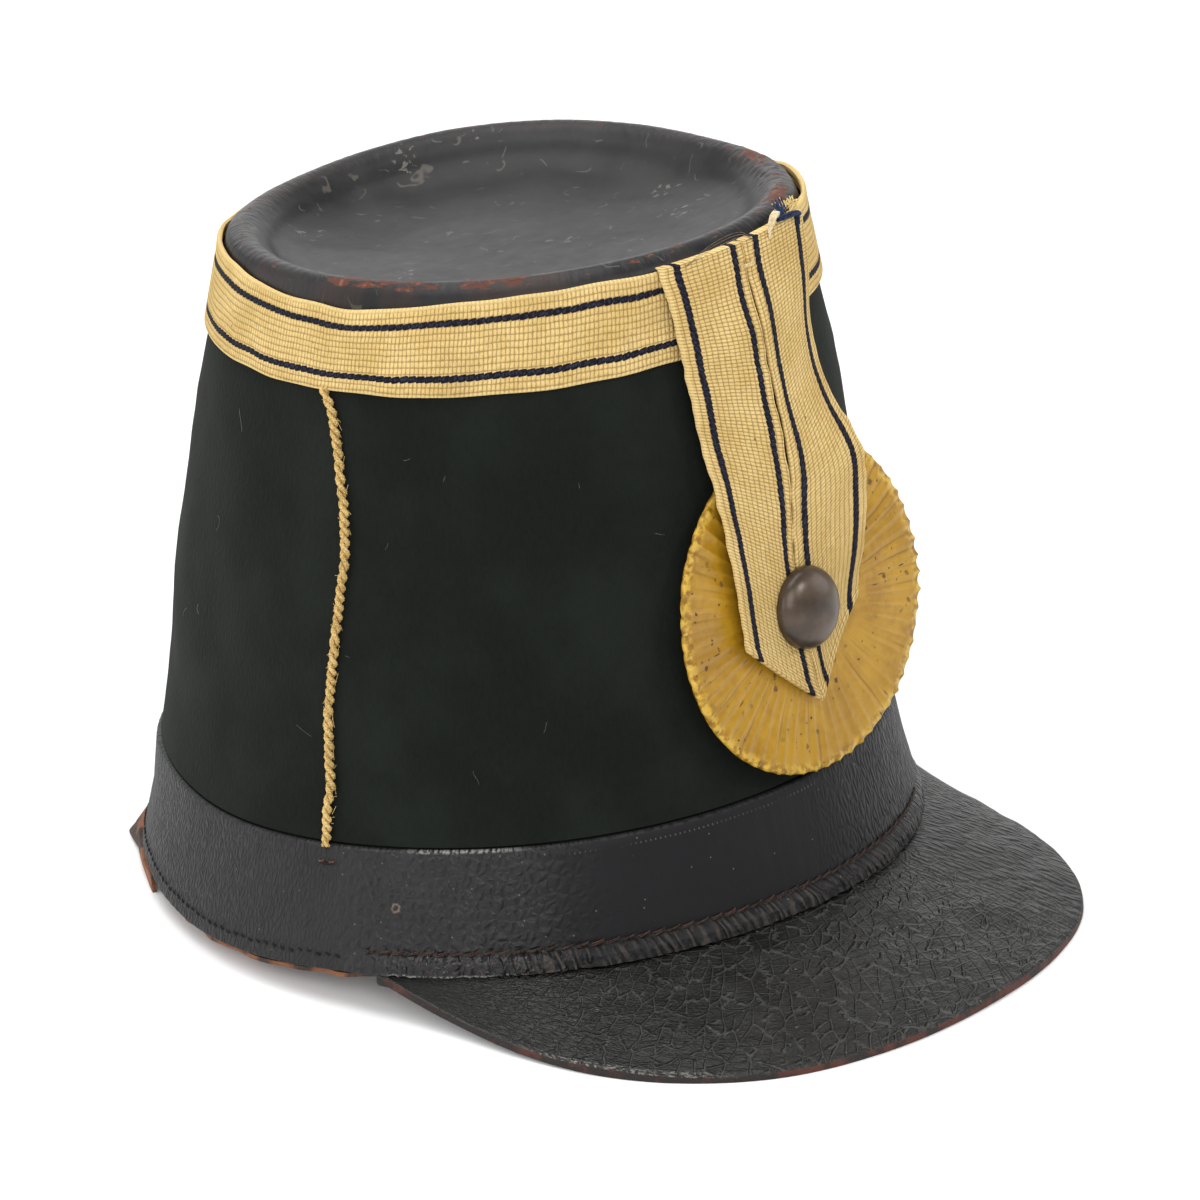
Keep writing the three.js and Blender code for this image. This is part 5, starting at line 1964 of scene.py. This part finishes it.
@dataclass
class Sweatband:
    """The brown leather band inside the rim, its foot turned out under it, and its torn tongue."""

    top: float = 34.0
    foot: float = -1.0
    thickness: float = 1.2
    face: float = -4.0
    lip: float = -0.4
    lip_span: Pair = (math.radians(62.0), math.radians(76.0))
    lip_shy: Pair = (-108.0, 20.0)
    shy_depth: float = 0.9
    frays: Pair = (0.9, 0.8)
    longest_fray: float = 1.6
    front_tuck: float = 2.4
    girth: float = 95.0
    base: float = 120.0  # the radius that it is spun on
    steps: int = 424
    tongue_shape: tuple[Spot, ...] = (
        (-147.0, 0.25, 0.1), (-140.0, 1.0, 1.0), (-133.0, 0.3, 0.16), (-119.0, 0.0, 0.0),
    )  # degrees from the front, share of the stand-off, share of the height
    tongue_stand: Curve = Curve(((-6.0, -1.0), (-5.0, 2.0), (-3.6, 4.6), (-0.5, 2.6), (3.6, 0.4)))
    tongue_foot: float = -6.0
    tongue_tops: Pair = (-1.6, 3.6)
    tongue_length: float = 20.0
    tongue_leather: float = 1.1
    tongue_seat: float = 0.3

    def build(self) -> None:
        """Builds the band and its tongue."""
        finish = RawEdgeFinish(
            "sweat_leather", rgb(0.24, 0.085, 0.03), rgb(0.036, 0.018, 0.012), rgb(0.34, 0.16, 0.07)
        ).material()
        self._band(finish)
        self._tongue(finish)

    def _band(self, finish: Material) -> None:
        """The band, with a turned-out foot that shows in places."""
        back = self.face - self.thickness
        rows = [(back, self.foot - 0.9), (self.lip, self.foot - 0.9), (self.lip, self.foot + 0.2)]
        rows += [(self.face, self.foot + 0.2)]
        rows += [(self.face, h) for h in np.linspace(3.0, self.top - 0.3, 10)]
        rows += [(self.face - 0.3, self.top), (back + 0.3, self.top)]
        rows += [(back, h) for h in np.linspace(self.top - 0.3, 1.0, 10)]
        work = Workpiece()
        work.spin([(self.base + offset, height) for offset, height in rows], self.steps)
        work.lay_round(self.girth)
        torn, wave = Ripple(111, 14.0), Ripple(112, 40.0)

        def place(turn: Array, height: Array, radius: Array) -> Array:
            """Bends the band to the hat, its foot frayed."""
            offset = radius - self.base
            lip = (offset > self.face + 0.5) * 1.0
            way = turn * self.girth
            ragged = torn.at(way) * self.frays[0] + wave.at(way) * self.frays[1]
            ragged = np.minimum(ragged, self.longest_fray)
            behind = eased(np.abs(turn), *self.lip_span)
            shy = self.shy_depth * bell(np.degrees(turn), *self.lip_shy)
            offset = offset + lip * (ragged * behind - self.front_tuck * (1.0 - behind) - shy)
            return HAT.stand(HAT.on_floor(HAT.point(turn, height, offset)))

        work.bend_round(place)
        work.finish(PieceSpec("leather_sweatband", "sweat_leather", (finish,), "sweatband"))

    def _tongue(self, finish: Material) -> None:
        """The torn tongue that is turned out under the rim."""
        work = Workpiece()
        work.slab((1.0, self.tongue_length, self.tongue_leather), (40, 20), 0.01)
        work.lay_flat()
        torn = Ripple(115, 0.3)

        def place(spots: Array) -> Array:
            """Leads the tongue out under the rim and up to a point."""
            angles, stands, rises = np.array(self.tongue_shape).T
            degrees = angles[0] + (angles[-1] - angles[0]) * spots[:, 0]
            low, high = self.tongue_tops
            top = low + (high - low) * np.interp(degrees, angles, rises) + 0.3 * torn.at(spots[:, 0])
            height = self.tongue_foot + (top - self.tongue_foot) * spots[:, 1] / self.tongue_length
            off = self.tongue_stand.at(height) * np.interp(degrees, angles, stands)
            offset = self.tongue_seat + off + spots[:, 2] - 0.5 * self.tongue_leather
            return HAT.stand(HAT.on_floor(HAT.point(np.radians(degrees), height, offset)))

        work.bend(place)
        bmesh.ops.recalc_face_normals(work.bm, faces=work.bm.faces)
        work.finish(PieceSpec("sweatband_tongue", "sweat_leather", (finish,)))


@dataclass(frozen=True)
class SoftBox:
    """A square studio light."""

    name: str
    place: tuple[float, float, float]
    aim: tuple[float, float, float]
    size: float
    power: float

    def build(self) -> None:
        """Hangs the light."""
        lamp = bpy.data.lights.new(self.name, "AREA")
        lamp.size = self.size
        lamp.energy = self.power
        box = bpy.data.objects.new(self.name, lamp)
        bpy.context.scene.collection.objects.link(box)
        way = Vector(self.aim) - Vector(self.place)
        turn = way.to_track_quat("-Z", "Y").to_matrix().to_4x4()
        box.matrix_world = Matrix.Translation(self.place) @ turn


@dataclass
class Studio:
    """The floor, the lights and the camera."""

    azimuth: float = math.radians(-47.59)
    elevation: float = math.radians(21.41)
    roll: float = math.radians(-0.76)
    distance: float = 1204.9
    lens: float = 144.26
    aim_height: float = 75.0
    aim_side: float = 21.25
    aim_rise: float = -15.86
    sensor: float = 36.0
    clip: Pair = (0.05, 50.0)
    floor_half: float = 6.0
    boxes: tuple[SoftBox, ...] = (
        SoftBox("overhead", (-0.1, 0.3, 1.4), (0.0, 0.0, 0.05), 1.2, 13.4),
        SoftBox("key", (-0.95, -1.0, 1.0), (0.0, 0.0, 0.08), 0.9, 8.5),
        SoftBox("side", (-1.5, 0.05, 0.7), (0.0, 0.0, 0.08), 0.9, 5.0),
        SoftBox("front", (0.16, -1.2, 1.2), (0.0, 0.0, 0.08), 0.34, 5.5),
        SoftBox("fill", (1.3, -0.9, 0.7), (0.0, 0.0, 0.08), 1.0, 6.0),
        SoftBox("right_backdrop", (1.5, 1.4, 0.75), (0.0, 0.0, 0.1), 2.2, 19.0),
        SoftBox("left_backdrop", (-1.2, 1.6, 0.75), (0.0, 0.0, 0.1), 2.2, 14.0),
    )
    sky: float = 0.295

    def build(self) -> None:
        """Sets up the studio."""
        self._floor()
        self._world()
        for box in self.boxes:
            box.build()
        self._camera()

    def _floor(self) -> None:
        """The pale floor."""
        bm = bmesh.new()
        bmesh.ops.create_grid(bm, x_segments=2, y_segments=2, size=self.floor_half)
        mesh = bpy.data.meshes.new("floor")
        bm.to_mesh(mesh)
        bm.free()
        mesh.materials.append(FloorFinish().material())
        floor = bpy.data.objects.new("floor", mesh)
        bpy.context.scene.collection.objects.link(floor)

    def _world(self) -> None:
        """An even pale surrounding."""
        world = bpy.data.worlds.new("studio")
        world.use_nodes = True
        backdrop = world.node_tree.nodes["Background"]
        backdrop.inputs["Color"].default_value = rgb(1.0, 1.0, 1.0)
        backdrop.inputs["Strength"].default_value = self.sky
        scene = bpy.context.scene
        scene.world = world
        scene.view_settings.view_transform = "Standard"

    def _camera(self) -> None:
        """The camera, at the hat's three-quarter view."""
        a, e = self.azimuth, self.elevation
        back = Vector((math.sin(a) * math.cos(e), -math.cos(a) * math.cos(e), math.sin(e)))
        level = Vector((math.cos(a), math.sin(a), 0.0))
        upright = back.cross(level)
        right = level * math.cos(self.roll) + upright * math.sin(self.roll)
        up = upright * math.cos(self.roll) - level * math.sin(self.roll)
        target = Vector(HAT.rim_centre) + Vector((0.0, 0.0, self.aim_height + self.aim_rise))
        target += right * self.aim_side
        lens = bpy.data.cameras.new("camera")
        lens.sensor_width = self.sensor
        lens.lens = self.lens
        lens.clip_start, lens.clip_end = self.clip
        camera = bpy.data.objects.new("camera", lens)
        bpy.context.scene.collection.objects.link(camera)
        turn = Matrix((right, up, back)).transposed().to_4x4()
        camera.matrix_world = Matrix.Translation((target + back * self.distance) * MM) @ turn
        bpy.context.scene.camera = camera


@dataclass
class Kepi:
    """The whole hat, dressed piece by piece."""

    studio: Studio = field(default_factory=Studio)

    def build(self) -> None:
        """Builds the studio, then every piece in order."""
        self.studio.build()
        crown = Crown()
        crown.build()
        crown.lint()
        CrownTop().build()
        TopBand().build()
        FrontLoop().build()
        Cockade().build()
        cord = ThreadFinish("straw_cord", rgb(0.74, 0.53, 0.21), rgb(0.4, 0.25, 0.075)).material()
        for side in Side:
            SideCord(side).build(cord)
        BaseBand().build()
        Peak().build()
        Sweatband().build()


def main() -> None:
    """Dresses the hat."""
    logging.basicConfig(level=logging.INFO, format="%(name)s: %(message)s")
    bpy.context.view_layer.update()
    Kepi().build()
    bpy.context.view_layer.update()


if __name__ == "__main__":
    main()
